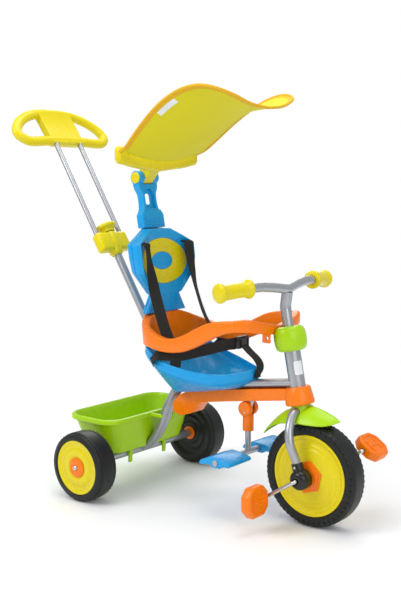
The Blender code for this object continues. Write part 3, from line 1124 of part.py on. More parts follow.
STRAP_WAY = [(0.0950, 0.0820, STRAP_SLOT_HEIGHT - 0.0145), (0.1000, 0.0820, STRAP_SLOT_HEIGHT - 0.0425),
             (0.1060, 0.0815, STRAP_SLOT_HEIGHT - 0.0725), (0.1170, 0.0810, 0.5140),
             (0.1400, 0.0820, 0.4510), (0.1600, 0.0860, 0.4150), (0.1800, 0.0900, 0.3850)]
STRAP_TWIST = {"right": (20, 16, -6, -38, -50, -50, -46),
               "left": (20, 8, -8, -26, -26, -30, -30)}    # degrees
for side, sign in SIDES.items():
    rows = [((SLOT_DEEP + 0.0030, sign * STRAP_SIDE, STRAP_SLOT_HEIGHT), (0, 1, 0)),
            ((0.0880, sign * STRAP_SIDE, STRAP_SLOT_HEIGHT), (0, 1, 0))]
    for (x, y, z), twist in zip(STRAP_WAY, STRAP_TWIST[side]):
        turn = math.radians(twist)
        rows.append(((x, sign * y, z), (sign * math.sin(turn), math.cos(turn), 0)))
    piece(f"shoulder_strap_{side}", webbing(rows), WEB)
lap_left = [((0.1420, 0.1214, 0.3490), (0, 0.0, 1)), ((0.1600, 0.1270, 0.3680), (-0.5, -0.8, 1)),
            ((0.1800, 0.1140, 0.3700), (0, -0.5, 1)), ((0.2150, 0.1000, 0.3720), (0, 0, 1)),
            ((0.2500, 0.0830, 0.3820), (0, 0, 1)), ((0.2830, 0.0600, 0.3920), (0, 0, 1)),
            ((0.3080, 0.0350, 0.4000), (0, 0, 1)), ((0.3250, 0.0000, 0.4040), (0, 0, 1))]
lap_rows = lap_left + [((x, -y, z), (a, -b, c)) for (x, y, z), (a, b, c) in reversed(lap_left[:-1])]
piece("lap_strap", webbing(lap_rows), WEB)
crotch_rows = [((0.3275, 0, 0.4130), (0, 1, 0)), ((0.3300, 0, 0.3990), (0, 1, 0)),
               ((0.3480, 0, 0.3830), (0, 1, 0)),
               ((0.3680, 0, 0.3690), (0, 1, 0)), ((0.3785, 0, 0.3543), (0, 1, 0)),
               ((0.3775, 0, 0.3400), (0, 1, 0)),
               ((0.3710, 0, 0.3300), (0, 1, 0)), ((0.3702, 0, 0.3225), (0, 1, 0))]
piece("crotch_strap", webbing(crotch_rows), WEB)

# The whole is centred under its box, and the joints' places are printed.
bpy.context.view_layer.update()
corners = [obj.matrix_world @ Vector(corner) for obj in bpy.data.objects if obj.type == "MESH"
           for corner in obj.bound_box]
root.location.x = -(min(corner.x for corner in corners) + max(corner.x for corner in corners)) / 2
bpy.context.view_layer.update()
print("moved along x by", round(root.location.x, 6))
for obj in bpy.data.objects:
    if obj.type == "EMPTY":
        print(obj.name, [round(value, 5) for value in obj.matrix_world.translation])
print("steering axis runs along", [round(value, 5) for value in STEER_UP])
print("knob axis runs along", [round(value, 5) for value in HANDLE_UP])
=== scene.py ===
# %% [markdown]
# # A child's push-along tricycle, dressed for the studio
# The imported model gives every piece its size, place and joint. This lesson models the surfaces that the
# eye sees over that frame: blown plastic wheels, bent steel tubes, moulded shells, webbing and a canopy.
# Each finished piece rides on the body that carries it, and stands for the plain solid that it replaces.

# %% Load the frame
import math

import bpy
from mathutils import Matrix, Vector


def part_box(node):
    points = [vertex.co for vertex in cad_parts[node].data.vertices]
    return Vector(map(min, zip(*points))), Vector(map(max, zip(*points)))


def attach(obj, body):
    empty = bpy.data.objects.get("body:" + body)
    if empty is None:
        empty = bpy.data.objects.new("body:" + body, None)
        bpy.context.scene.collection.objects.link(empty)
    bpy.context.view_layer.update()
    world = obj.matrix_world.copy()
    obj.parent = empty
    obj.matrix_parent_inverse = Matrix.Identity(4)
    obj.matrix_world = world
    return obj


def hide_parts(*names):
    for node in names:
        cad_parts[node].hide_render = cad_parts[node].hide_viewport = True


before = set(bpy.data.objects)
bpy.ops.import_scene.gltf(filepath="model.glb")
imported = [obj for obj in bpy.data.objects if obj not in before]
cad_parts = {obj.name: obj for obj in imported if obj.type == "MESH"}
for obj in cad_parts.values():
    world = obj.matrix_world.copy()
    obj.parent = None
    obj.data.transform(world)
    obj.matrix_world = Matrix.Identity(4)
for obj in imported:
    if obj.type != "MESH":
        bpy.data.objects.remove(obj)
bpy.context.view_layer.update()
AXLE_LOW, AXLE_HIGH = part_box("rear_axle_rod")
AXLE_X = (AXLE_LOW[0] + AXLE_HIGH[0]) / 2
SIDES = {"right": -1, "left": 1}
print("rear axle at x =", round(AXLE_X, 4), "and", len(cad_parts), "nodes loaded")

# %% [markdown]
# ## Sizes
# The pieces are drawn from the rear axle: x runs forward, y to the rider's left and z up from the ground.
# These are the same real sizes as the solids have, in metres, so that nothing needs fitting afterwards.
# At the end of its making each piece is moved along x by the axle's place in the frame.

# %% Sizes shared by several pieces
GAP = 0.0003
WALL = 0.0025
REAR_RADIUS, REAR_WIDTH, REAR_SIDE = 0.086, 0.063, 0.215
FRONT_RADIUS, FRONT_WIDTH = 0.12, 0.056
FRONT_HUB = Vector((0.5355, 0.0, FRONT_RADIUS))
FRAME_TUBE, FRAME_SPACING = 0.018, 0.0186
HEAD_RADIUS, STEM_TUBE, BAR_TUBE, FORK_TUBE = 0.019, 0.026, 0.022, 0.021
STEER_TILT = math.radians(11.5)
STEER_POINT = Vector((0.4691, 0.0, 0.4002))
STEER_UP = Vector((-math.sin(STEER_TILT), 0.0, math.cos(STEER_TILT)))
STEER_AHEAD = Vector((math.cos(STEER_TILT), 0.0, math.sin(STEER_TILT)))
HANDLE_UP = Vector((-0.632, 0.0, 1.0)).normalized()
HANDLE_AHEAD = Vector((HANDLE_UP.z, 0.0, -HANDLE_UP.x))
HANDLE_FOOT = Vector((0.123, 0.0, 0.2565))
CANOPY_PIVOT = Vector((0.01, 0.0, 0.795))
FOOTREST_PIVOT = Vector((0.345, 0.0, 0.245))
WEBBING, WEBBING_THICKNESS = 0.027, 0.0018
MIRROR_Y = Matrix.Diagonal((1, -1, 1, 1))
SIDEWAYS, UPWARDS = Vector((0, 1, 0)), Vector((0, 0, 1))

# %% [markdown]
# ## Ways to make a shape
# A handful of forms covers the whole tricycle. A turned form starts as one vertex, is extruded along its
# profile and spun; a pipe is a curve with a round bevel; a slab is a flat outline extruded; a skin is a
# grid laid over a row of rings. Each helper leaves one mesh object with its faces pointing outwards.

# %% Selection and modifiers
def fresh():
    """Object mode with nothing selected, because operators act on all that is selected."""
    if bpy.context.mode != "OBJECT":
        bpy.ops.object.mode_set(mode="OBJECT")
    bpy.ops.object.select_all(action="DESELECT")


def pick(obj):
    fresh()
    obj.select_set(True)
    bpy.context.view_layer.objects.active = obj


def edit(obj, select="SELECT"):
    pick(obj)
    bpy.ops.object.mode_set(mode="EDIT")
    bpy.ops.mesh.select_all(action=select)


def apply(obj, modifier):
    pick(obj)
    bpy.ops.object.modifier_apply(modifier=modifier.name)
    return obj


def thickened(obj, thickness):
    """A sheet gets its thickness, half on each side."""
    solid = obj.modifiers.new("thickness", "SOLIDIFY")
    solid.thickness = thickness
    solid.offset = 0
    return apply(obj, solid)


def tidy(obj, merge=1e-5):
    """Merge doubles, then turn every face outwards."""
    edit(obj)
    bpy.ops.mesh.remove_doubles(threshold=merge)
    bpy.ops.mesh.normals_make_consistent(inside=False)
    bpy.ops.object.mode_set(mode="OBJECT")
    return obj


def rounded(obj, width, segments=3, angle=30):
    """Edges sharper than the angle get a small radius, as every moulded or pressed edge has."""
    bevel = obj.modifiers.new("rounding", "BEVEL")
    bevel.width = width
    bevel.segments = segments
    bevel.limit_method = "ANGLE"
    bevel.angle_limit = math.radians(angle)
    return apply(obj, bevel)


def boolean(obj, other, operation):
    modifier = obj.modifiers.new("shape", "BOOLEAN")
    modifier.operation = operation
    modifier.solver = "EXACT"
    modifier.object = other
    apply(obj, modifier)
    bpy.data.objects.remove(other)
    return obj


def carved(obj, *cutters):
    for cutter in cutters:
        boolean(obj, cutter, "DIFFERENCE")
    return obj


def welded(obj, *others):
    for other in others:
        boolean(obj, other, "UNION")
    return obj


def gathered(obj, *others):
    """Shells that sit in or on each other become one object without cutting."""
    pick(obj)
    for other in others:
        other.select_set(True)
    bpy.ops.object.join()
    return obj


# %% [markdown]
# ### Turned forms
# A wheel, a grip or a cap is a profile spun round its axis. Extruding one vertex along the profile and
# calling spin is what one would do by hand, and the number of steps can be as fine as the view needs.
# The profile lists (radius, height) points; repeating the first point at the end makes a ring.

# %% Turned forms
def stood(obj, centre, axis):
    """Turn what was made round the z axis on to another axis, and move it to its centre."""
    turn = UPWARDS.rotation_difference(Vector(axis)).to_matrix().to_4x4()
    obj.data.transform(Matrix.Translation(centre) @ turn)
    return obj


def turned(name, profile, centre=(0, 0, 0), axis=(0, 1, 0), steps=72, edge=0.0):
    fresh()
    bpy.ops.mesh.primitive_circle_add(vertices=3, radius=0.001)
    obj = bpy.context.object
    obj.name = name
    edit(obj)
    bpy.ops.mesh.merge(type="CENTER")
    bpy.ops.transform.translate(value=(profile[0][0], 0, profile[0][1]))
    for (r0, h0), (r1, h1) in zip(profile, profile[1:]):
        bpy.ops.mesh.extrude_vertices_move(TRANSFORM_OT_translate={"value": (r1 - r0, 0, h1 - h0)})
    bpy.ops.mesh.select_all(action="SELECT")
    bpy.ops.mesh.spin(steps=steps, angle=math.tau, center=(0, 0, 0), axis=(0, 0, 1))
    stood(tidy(obj), centre, axis)
    if edge:
        rounded(obj, edge)
    return obj


def rod(name, start, end, diameter, steps=40, edge=0.0):
    start, end = Vector(start), Vector(end)
    radius, length = diameter / 2, (end - start).length
    profile = [(0, 0), (radius, 0), (radius, length), (0, length)]
    return turned(name, profile, start, end - start, steps, edge)


# %% [markdown]
# ### Rows of numbers
# Most shapes start as a short table: the places on an outline, or one row of sizes for each station of
# a shell. Tables that go through mm() are written in millimetres, all others in metres. They are smoothed
# by a curve through every row, read between two rows, or mirrored, so that half of a shape is enough.

# %% Rows of numbers
def mm(*rows):
    """Rows written in millimetres, in metres."""
    return [tuple(value / 1000 for value in row) for row in rows]


def backwards(rows, column):
    """The rows in reverse and mirrored in one column, to close a shape of which half is drawn."""
    return [tuple(-value if k == column else value for k, value in enumerate(row)) for row in reversed(rows)]


def through(rows, steps, closed=False):
    """A smooth run of rows through the given ones, each row a list of numbers."""
    count = len(rows)
    result = []
    for i in range(count if closed else count - 1):
        if closed:
            four = [rows[(i + k) % count] for k in (-1, 0, 1, 2)]
        else:
            four = [rows[min(max(i + k, 0), count - 1)] for k in (-1, 0, 1, 2)]
        for step in range(steps):
            t = step / steps
            result.append([0.5 * (2 * b + (c - a) * t + (2 * a - 5 * b + 4 * c - d) * t * t
                                  + (3 * b - a - 3 * c + d) * t ** 3)
                           for a, b, c, d in zip(*four)])
    return result if closed else result + [list(rows[-1])]


def at(rows, x):
    """Straight-line value between rows sorted by their first number."""
    for low, high in zip(rows, rows[1:]):
        if x <= high[0]:
            share = max(0.0, (x - low[0]) / (high[0] - low[0]))
            return [a + (b - a) * share for a, b in zip(low[1:], high[1:])]
    return list(rows[-1][1:])


def arc(centre, radius, start, end, steps):
    angles = [math.radians(start + (end - start) * i / steps) for i in range(steps + 1)]
    return [(centre[0] + radius * math.cos(a), centre[1] + radius * math.sin(a)) for a in angles]


# %% [markdown]
# ### Pipes
# Bent steel tube is a curve with a round bevel. Its corners are arcs of the bending die's radius, so the
# path is worked out as straight runs joined by arcs, and the curve is then converted to a mesh.

# %% Pipes
def arcs_at_corners(points, radius, steps=8):
    points = [Vector(point) for point in points]
    path = [points[0]]
    for before, corner, after in zip(points, points[1:], points[2:]):
        back, ahead = before - corner, after - corner
        half = back.angle(ahead) / 2
        cut = min(radius / math.tan(half), 0.49 * back.length, 0.49 * ahead.length)
        start, end = corner + back.normalized() * cut, corner + ahead.normalized() * cut
        middle = corner + (back.normalized() + ahead.normalized()).normalized() * cut / math.cos(half)
        first, last = start - middle, end - middle
        sweep = first.angle(last)
        for step in range(steps + 1):
            share = step / steps
            weight = math.sin((1 - share) * sweep), math.sin(share * sweep)
            path.append(middle + (first * weight[0] + last * weight[1]) / math.sin(sweep))
    return path + [points[-1]]


def pipe(name, points, diameter, bend=0.0, sides=7, closed=False):
    fresh()
    bpy.ops.curve.primitive_bezier_curve_add()
    obj = bpy.context.object
    obj.name = name
    curve = obj.data
    curve.splines.clear()
    curve.bevel_depth = diameter / 2
    curve.bevel_resolution = sides
    curve.use_fill_caps = not closed
    path = arcs_at_corners(points, bend) if bend else [Vector(point) for point in points]
    spline = curve.splines.new("POLY")
    spline.points.add(len(path) - 1)
    for point, place in zip(spline.points, path):
        point.co = (*place, 1)
    spline.use_cyclic_u = closed
    bpy.ops.object.convert(target="MESH")
    return tidy(bpy.context.object)


# %% [markdown]
# ### Slabs and skins
# A flat outline extruded and rounded gives ears, ribs, pads and plates. A skin is a grid whose rows are
# laid on rings of points: rolled round it becomes a tube-like shell, and its open ends are filled.

# %% Slabs and skins
def slab(name, outline, low, high, edge=0.0, segments=3):
    """An outline of (x, z) points made solid from y = low to y = high."""
    fresh()
    bpy.ops.mesh.primitive_circle_add(vertices=len(outline), fill_type="NGON")
    obj = bpy.context.object
    obj.name = name
    for vertex, (x, z) in zip(obj.data.vertices, outline):
        vertex.co = (x, low, z)
    edit(obj)
    bpy.ops.mesh.extrude_region_move(TRANSFORM_OT_translate={"value": (0, high - low, 0)})
    bpy.ops.mesh.select_all(action="SELECT")
    bpy.ops.mesh.normals_make_consistent(inside=False)
    bpy.ops.object.mode_set(mode="OBJECT")
    if edge:
        rounded(obj, edge, segments)
    return obj


def block(name, low, high, edge=0.0):
    """A rounded block between two corners, from the cube primitive."""
    fresh()
    low, high = Vector(low), Vector(high)
    bpy.ops.mesh.primitive_cube_add(size=1, location=(low + high) / 2, scale=high - low)
    obj = bpy.context.object
    obj.name = name
    bpy.ops.object.transform_apply(location=True, rotation=True, scale=True)
    return rounded(obj, edge, 3) if edge else obj


def grid(name, rows):
    """A sheet whose vertices lie on rows of places, and the column and row of each vertex."""
    across, along = len(rows[0]) - 1, len(rows) - 1
    fresh()
    bpy.ops.mesh.primitive_grid_add(x_subdivisions=across, y_subdivisions=along, size=1)
    obj = bpy.context.object
    obj.name = name
    cells = [(round((v.co.x + 0.5) * across), round((v.co.y + 0.5) * along)) for v in obj.data.vertices]
    for vertex, (i, j) in zip(obj.data.vertices, cells):
        vertex.co = rows[j][i]
    return obj, cells


def lay_map(obj, cells, across, along):
    """The piece's own map in metres: a distance across for each column and along for each row."""
    layer = obj.data.uv_layers[0]
    for corner in obj.data.loops:
        i, j = cells[corner.vertex_index]
        layer.data[corner.index].uv = (across[i], along[j])


def skin(name, rings, joined=False):
    """Rings of as many points each, skinned in order. Joined means that the last ring meets the first."""
    rows = [[*ring, ring[0]] for ring in rings]
    obj = tidy(grid(name, rows + rows[:1] if joined else rows)[0], 1e-6)
    if not joined:
        edit(obj, "DESELECT")
        bpy.ops.mesh.select_mode(type="EDGE")
        bpy.ops.mesh.select_non_manifold()
        bpy.ops.mesh.fill_holes(sides=0)
        bpy.ops.mesh.select_mode(type="VERT")
        tidy(obj, 1e-6)
    return obj


def turn_mesh(obj, matrix):
    obj.data.transform(matrix)
    if matrix.determinant() < 0:
        tidy(obj)
    return obj


# %% [markdown]
# ## Finishes
# Moulded plastic is never one flat colour: it has a faint flow mottle, a fine grain and a gloss that
# varies. One node group makes all three from Object coordinates, and each colour of plastic or paint
# places it with its own values. Webbing and cloth add a weave from a second group, drawn on their map,
# which darkens their colour in the weave's low points: painted shade between the threads.

# %% Node groups
def add_node(tree, kind, values=(), **settings):
    """A new shader node. Each value is a plain one, or another node's output that is linked to it."""
    made = tree.nodes.new("ShaderNode" + kind)
    for setting, value in settings.items():
        setattr(made, setting, value)
    for socket, value in dict(values).items():
        if isinstance(value, bpy.types.NodeSocket):
            tree.links.new(value, made.inputs[socket])
        else:
            made.inputs[socket].default_value = value
    return made


def new_group(name, inputs, outputs):
    group = bpy.data.node_groups.new(name, "ShaderNodeTree")
    for socket, kind, value in inputs:
        made = group.interface.new_socket(socket, in_out="INPUT", socket_type="NodeSocket" + kind)
        made.default_value = value
    for socket, kind in outputs:
        group.interface.new_socket(socket, in_out="OUTPUT", socket_type="NodeSocket" + kind)
    return group, group.nodes.new("NodeGroupInput").outputs, group.nodes.new("NodeGroupOutput").inputs


def noise(tree, place, scale, detail=2.0, roughness=0.5):
    values = {"Vector": place, "Scale": scale, "Detail": detail, "Roughness": roughness}
    return add_node(tree, "TexNoise", values).outputs["Fac"]


def maths(tree, operation, first, second=0.0):
    return add_node(tree, "Math", {0: first, 1: second}, operation=operation).outputs[0]


def tinted(tree, colour, factor):
    """The colour made lighter or darker by a factor near 1."""
    return add_node(tree, "VectorMath", {0: colour, "Scale": factor}, operation="SCALE").outputs[0]


def moulded_group():
    group, enter, leave = new_group(
        "moulded surface",
        [("Colour", "Color", (0.5, 0.5, 0.5, 1)), ("Mottle", "Float", 0.06), ("Gloss", "Float", 0.28),
         ("Grain", "Float", 900.0)],
        [("Colour", "Color"), ("Roughness", "Float"), ("Height", "Float")])
    place = add_node(group, "TexCoord").outputs["Object"]
    broad = noise(group, place, 9.0, 3.0)
    streak = noise(group, place, 55.0)
    blend = maths(group, "ADD", maths(group, "MULTIPLY", broad, 0.7), maths(group, "MULTIPLY", streak, 0.3))
    shade = maths(group, "MULTIPLY", maths(group, "SUBTRACT", blend, 0.5), enter["Mottle"])
    worn = maths(group, "MULTIPLY", maths(group, "SUBTRACT", streak, 0.5), 0.18)
    fine = noise(group, place, enter["Grain"], 2.0, 0.6)
    ripple = maths(group, "MULTIPLY", noise(group, place, 38.0, 1.0), 3.0)
    group.links.new(tinted(group, enter["Colour"], maths(group, "ADD", shade, 1.0)), leave["Colour"])
    group.links.new(maths(group, "ADD", enter["Gloss"], worn), leave["Roughness"])
    group.links.new(maths(group, "ADD", fine, ripple), leave["Height"])
    return group


def weave_group():
    group, enter, leave = new_group("plain weave", [("Threads", "Float", 1200.0), ("Depth", "Float", 0.3)],
                                    [("Shade", "Float"), ("Height", "Float")])
    place = add_node(group, "TexCoord").outputs["UV"]
    apart = add_node(group, "SeparateXYZ", {0: place}).outputs
    waves = [maths(group, "SINE", maths(group, "MULTIPLY", apart[axis], enter["Threads"])) for axis in "XY"]
    rise = maths(group, "ADD", maths(group, "MULTIPLY", maths(group, "MULTIPLY", *waves), 0.5), 0.5)
    # painted shade: the colour is darkened where the weave is low, between the threads
    thread_valley_shade = maths(group, "MULTIPLY", maths(group, "SUBTRACT", rise, 1.0), enter["Depth"])
    group.links.new(rise, leave["Height"])
    group.links.new(maths(group, "ADD", thread_valley_shade, 1.0), leave["Shade"])
    return group


MOULDED, WEAVE = moulded_group(), weave_group()
print("node groups:", MOULDED.name, "and", WEAVE.name)

# %% [markdown]
# ### The plastics and paints
# The colours are the toy's own: yellow, orange, green and blue, on silver tube. Each material keeps its
# Principled shader to itself, with plain numbers on it, and reads only colour, roughness and height
# from the group. A little coat gives the hard highlight of polished tool steel.

# %% Materials
def new_material(name, values):
    """A material with plain numbers on its Principled shader."""
    material = bpy.data.materials.new(name)
    material.use_nodes = True
    shader = material.node_tree.nodes["Principled BSDF"]
    for socket, value in values.items():
        shader.inputs[socket].default_value = value
    return material, material.node_tree, shader


def bumped(tree, shader, height, strength):
    values = {"Strength": strength, "Distance": 0.0005, "Height": height}
    tree.links.new(add_node(tree, "Bump", values).outputs["Normal"], shader.inputs["Normal"])


def finish(name, colour, gloss, mottle=0.05, grain=500.0, bump=0.015, metallic=0.0, coat=0.0):
    material, tree, shader = new_material(name, {"Metallic": metallic, "Coat Weight": coat,
                                                 "Specular IOR Level": 0.3, "Coat Roughness": 0.08})
    values = {"Colour": (*colour, 1), "Mottle": mottle, "Gloss": gloss, "Grain": grain}
    surface = add_node(tree, "Group", values, node_tree=MOULDED).outputs
    tree.links.new(surface["Colour"], shader.inputs["Base Color"])
    tree.links.new(surface["Roughness"], shader.inputs["Roughness"])
    bumped(tree, shader, surface["Height"], bump)
    return material


def woven(name, colour, threads, depth, roughness, sheen, bump):
    material, tree, shader = new_material(name, {"Roughness": roughness, "Sheen Weight": sheen})
    cloth = add_node(tree, "Group", {"Threads": threads, "Depth": depth}, node_tree=WEAVE).outputs
    base = add_node(tree, "Group", {"Colour": (*colour, 1), "Mottle": 0.12}, node_tree=MOULDED).outputs
    # the weave's Shade output is painted shade between the threads, darkening the base colour
    tree.links.new(tinted(tree, base["Colour"], cloth["Shade"]), shader.inputs["Base Color"])
    bumped(tree, shader, cloth["Height"], bump)
    return material


FINISHES = {
    "yellow_plastic": finish("yellow plastic", (0.74, 0.61, 0.003), 0.27, coat=0.1),
    "orange_plastic": finish("orange plastic", (0.93, 0.195, 0.002), 0.27, coat=0.1),
    "green_plastic": finish("green plastic", (0.39, 0.66, 0.004), 0.26, coat=0.1),
    "blue_plastic": finish("blue plastic", (0.008, 0.33, 0.72), 0.28, coat=0.1),
    "black_plastic": finish("black plastic", (0.012, 0.012, 0.012), 0.25, coat=0.2),
    "tyre_plastic": finish("tyre plastic", (0.011, 0.013, 0.011), 0.4, 0.3, 400.0, 0.06),
    "silver_paint": finish("silver paint", (0.42, 0.43, 0.45), 0.33, 0.02, 2600.0, 0.005, 0.75, 0.4),
    "bright_steel": finish("bright steel", (0.62, 0.6, 0.58), 0.22, 0.08, 1800.0, 0.03, 1.0),
    "label": finish("blank label", (0.8, 0.82, 0.82), 0.45, 0.03),
    "black_webbing": woven("black webbing", (0.013, 0.013, 0.011), 3400.0, 0.5, 0.85, 0.0, 0.4),
    "canopy_fabric": woven("canopy cloth", (0.7, 0.63, 0.003), 5200.0, 0.04, 0.8, 0.0, 0.08),
    "canopy_binding": woven("canopy binding", (0.8, 0.45, 0.006), 4200.0, 0.12, 0.8, 0.0, 0.2),
}
print(len(FINISHES), "finishes")

# %% [markdown]
# ### Handing a piece over
# Every piece ends the same way: it is moved to the frame's place with its place kept in its mesh, shaded
# smooth up to a crease, given its finish, and set to ride on the body that carries it. If it stands for
# a plain solid of the frame, that solid is no longer shown.

# %% Handing a piece over
def piece(obj, finish_name, body="frame", stands_for=(), crease=35):
    obj.data.transform(Matrix.Translation((AXLE_X, 0, 0)))
    pick(obj)
    bpy.ops.object.shade_smooth_by_angle(angle=math.radians(crease))
    obj.data.materials.clear()
    obj.data.materials.append(FINISHES[finish_name])
    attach(obj, body)
    if stands_for:
        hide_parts(*([stands_for] if isinstance(stands_for, str) else stands_for))
    print(obj.name, len(obj.data.polygons), "faces")
    return obj


# %% [markdown]
# ## Frame tubes, head tube and rear axle
# Twin round tubes run side by side from the head tube under the seat and bend down to the rear axle tube,
# where they are welded. The bends are arcs, and the axle tube is a straight sleeve on a steel rod.

# %% Frame tubes
FRAME_PATH = mm((478, 325.6), (166, 278.7), (118, 258), (90, 214), (71, 165), (46, 124), (8, 88))
BEAM_SLOPE = (FRAME_PATH[0][1] - FRAME_PATH[1][1]) / (FRAME_PATH[0][0] - FRAME_PATH[1][0])


def beam_middle(x):
    return FRAME_PATH[1][1] + BEAM_SLOPE * (x - FRAME_PATH[1][0])


def frame_tube(name, sign, diameter=FRAME_TUBE):
    return pipe(name, [(x, sign * FRAME_SPACING / 2, z) for x, z in FRAME_PATH], diameter, 0.035)


def tube_rooms(clearance):
    """Cutters for whatever closes round the two frame tubes."""
    return [frame_tube("tube_room", sign, FRAME_TUBE + clearance) for sign in (1, -1)]


for side, sign in SIDES.items():
    piece(frame_tube(f"stay_{side}", sign), "silver_paint", "frame", f"frame_tube_{side}")

HEAD_BOTTOM, HEAD_TOP = -0.1237, 0.01


def on_steering(name, profile, steps=64, edge=0.0):
    return turned(name, profile, STEER_POINT, STEER_UP, steps, edge)


bore = STEM_TUBE / 2 + 0.0008
piece(on_steering("head_sleeve", [(HEAD_RADIUS, HEAD_BOTTOM), (HEAD_RADIUS, HEAD_TOP), (bore, HEAD_TOP),
                                  (bore, HEAD_BOTTOM), (HEAD_RADIUS, HEAD_BOTTOM)]),
      "silver_paint", "frame", "head_tube")

HUB_INNER = REAR_SIDE - REAR_WIDTH / 2
axle_half = HUB_INNER - 0.0038
rod_bore = 0.0043
piece(turned("axle_sleeve", [(0.0105, -axle_half), (0.0105, axle_half), (rod_bore, axle_half),
                             (rod_bore, -axle_half), (0.0105, -axle_half)], (0, 0, REAR_RADIUS), steps=48),
      "silver_paint", "frame", "rear_axle_tube")
rod_half = REAR_SIDE + REAR_WIDTH / 2 + 0.0005
piece(rod("axle_bar", (0, -rod_half, REAR_RADIUS), (0, rod_half, REAR_RADIUS), 0.008, 32),
      "bright_steel", "frame", "rear_axle_rod")

# %% [markdown]
# The head tube has a pale label on its right-hand front. It stays bare here: a thin patch wrapped round
# the tube, made as a narrow band of the tube's own turned surface, given a thickness and round corners.

# %% The bare label on the head tube
def wrapped_label(name, along, height, azimuth, spread, steps=16, ranks=8):
    """A patch round the head tube between two angles, in degrees from straight ahead."""
    rows = []
    for j in range(ranks + 1):
        level = j / ranks - 0.5
        corner = 2 * max(0.0, abs(level) - 0.44)
        row = []
        for i in range(steps + 1):
            angle = math.radians(azimuth + spread * (1 - corner) * (i / steps - 0.5))
            out = STEER_AHEAD * math.cos(angle) + SIDEWAYS * math.sin(angle)
            row.append(STEER_POINT + STEER_UP * (along + height * level) + out * (HEAD_RADIUS + 0.00015))
        rows.append(row)
    return tidy(thickened(grid(name, rows)[0], 0.0002))


piece(wrapped_label("head_label", -0.041, 0.032, -27, 66), "label", "frame")

# %% [markdown]
# ## Headset collar and beam cover
# The green collar is a fat barrel over the top of the head tube, a turned form with generous radii. The
# orange cover is a moulded channel under the tubes: a slab, hollowed, with a skirt round the head tube.

# %% Headset collar
barrel_side = through([(0.027, -0.001), (0.0325, 0.0022), (0.0357, 0.0082), (0.0374, 0.0165), (0.038, 0.027),
                       (0.0375, 0.038), (0.0354, 0.0465), (0.0312, 0.053), (0.024, 0.056)], 3)
barrel = [(HEAD_RADIUS + GAP, -0.001)] + barrel_side
barrel += [(bore, 0.056), (bore, HEAD_TOP + GAP), (HEAD_RADIUS + GAP, HEAD_TOP + GAP), barrel[0]]
piece(on_steering("collar", barrel, 96), "green_plastic", "frame", "headset_collar", 50)

# %% Beam cover
COVER_TOP = mm((472.2, 313.5), (288.5, 285.8), (213, 274.8), (170, 265), (140, 250), (120, 228))
COVER_HOOK = mm((123, 203), (149, 199), (172, 206.5), (189, 213), (199, 228))
COVER_BOTTOM = mm((213, 242), (288.5, 255.7), (472.5, 285.4))
COVER_HALF = FRAME_SPACING / 2 + FRAME_TUBE / 2 + WALL
skirt_foot, skirt_top, skirt_radius = -0.1257, -0.084, 0.034
channel = slab("cover", COVER_TOP + COVER_HOOK + COVER_BOTTOM, -COVER_HALF, COVER_HALF, 0.0018)
hollow = ([(0.48, 0.34), (0.18, 0.34), (0.143, 0.25), (0.1225 + WALL, 0.227), (0.125 + WALL, 0.206)]
          + [(0.1488, 0.199 + WALL), (0.1715, 0.2065 + WALL), (0.187, 0.213 + WALL), (0.1965, 0.229)]
          + [(0.2125, 0.242 + WALL), (0.2885, 0.2557 + WALL), (0.48, 0.2866 + WALL)])
carved(channel, slab("hollow", hollow, WALL - COVER_HALF, COVER_HALF - WALL))
skirt = on_steering("skirt", [(0, skirt_foot), (skirt_radius - 0.002, skirt_foot),
                              (skirt_radius, skirt_foot + 0.002),
                              (skirt_radius, skirt_foot + 0.009), (skirt_radius - 0.0045, skirt_top - 0.004),
                              (skirt_radius - 0.0065, skirt_top - 0.001), (skirt_radius - 0.0095, skirt_top),
                              (0, skirt_top)], 80)
welded(channel, skirt)
carved(channel, on_steering("sleeve_room", [(0, -0.16), (HEAD_RADIUS + GAP, -0.16), (HEAD_RADIUS + GAP, 0.0),
                                            (0, 0.0)]))
piece(channel, "orange_plastic", "frame", "beam_cover", 30)

# %% [markdown]
# ## Rear wheels
# A blown tyre of hard plastic with a yellow cover and an orange hub through both. The tread has small
# moulded blocks on both shoulders. One block is drawn and duplicated round the axis with spin, which is
# the quickest honest way to a regular pattern, and the same steps serve the front tyre.

# %% Shoulder blocks
def shoulder_blocks(centre, axis, radius, height, size, count, lean=0.0):
    """A ring of small raised blocks. size is along the axis, outwards and round the wheel."""
    obj = block("blocks", (radius - size[1] / 2, -size[2] / 2, height - size[0] / 2),
                (radius + size[1] / 2, size[2] / 2, height + size[0] / 2), min(size) * 0.3)
    edit(obj)
    if lean:
        bpy.ops.transform.rotate(value=lean, orient_axis="Y", center_override=(radius, 0, height))
    bpy.ops.mesh.spin(steps=count, dupli=True, angle=math.tau, center=(0, 0, 0), axis=(0, 0, 1))
    bpy.ops.object.mode_set(mode="OBJECT")
    return stood(tidy(obj, 1e-6), centre, axis)


HALF_TYRE = REAR_WIDTH / 2
COVER_RADIUS = REAR_RADIUS - 0.0185
HUB_RADIUS = 0.011
HUB_HOLE, COVER_HOLE = HUB_RADIUS + GAP, COVER_RADIUS + GAP
TREAD = mm((0, 18), (0.4, 14), (2.6, 12), (2.6, 10.5), (2, 8.5), (4.5, 2.8), (10, 0.4))
shoulder = [(REAR_RADIUS - drop, HALF_TYRE - inset) for drop, inset in TREAD]
REAR_TYRE = [(HUB_HOLE, -0.0255), (0.03, -0.0255), (0.0325, -0.0232), (0.042, -0.023), (0.0435, -0.024),
             (0.0475, -0.024), (0.049, -0.023), (0.056, -0.023), (0.059, -0.025), (0.064, -0.03),
             (REAR_RADIUS - 0.018, -HALF_TYRE)]
REAR_TYRE += backwards(shoulder, 1) + shoulder
REAR_TYRE += [(COVER_RADIUS + 0.0035, HALF_TYRE), (COVER_HOLE, HALF_TYRE - 0.002), (COVER_HOLE, 0.015),
              (HUB_HOLE, 0.015), REAR_TYRE[0]]
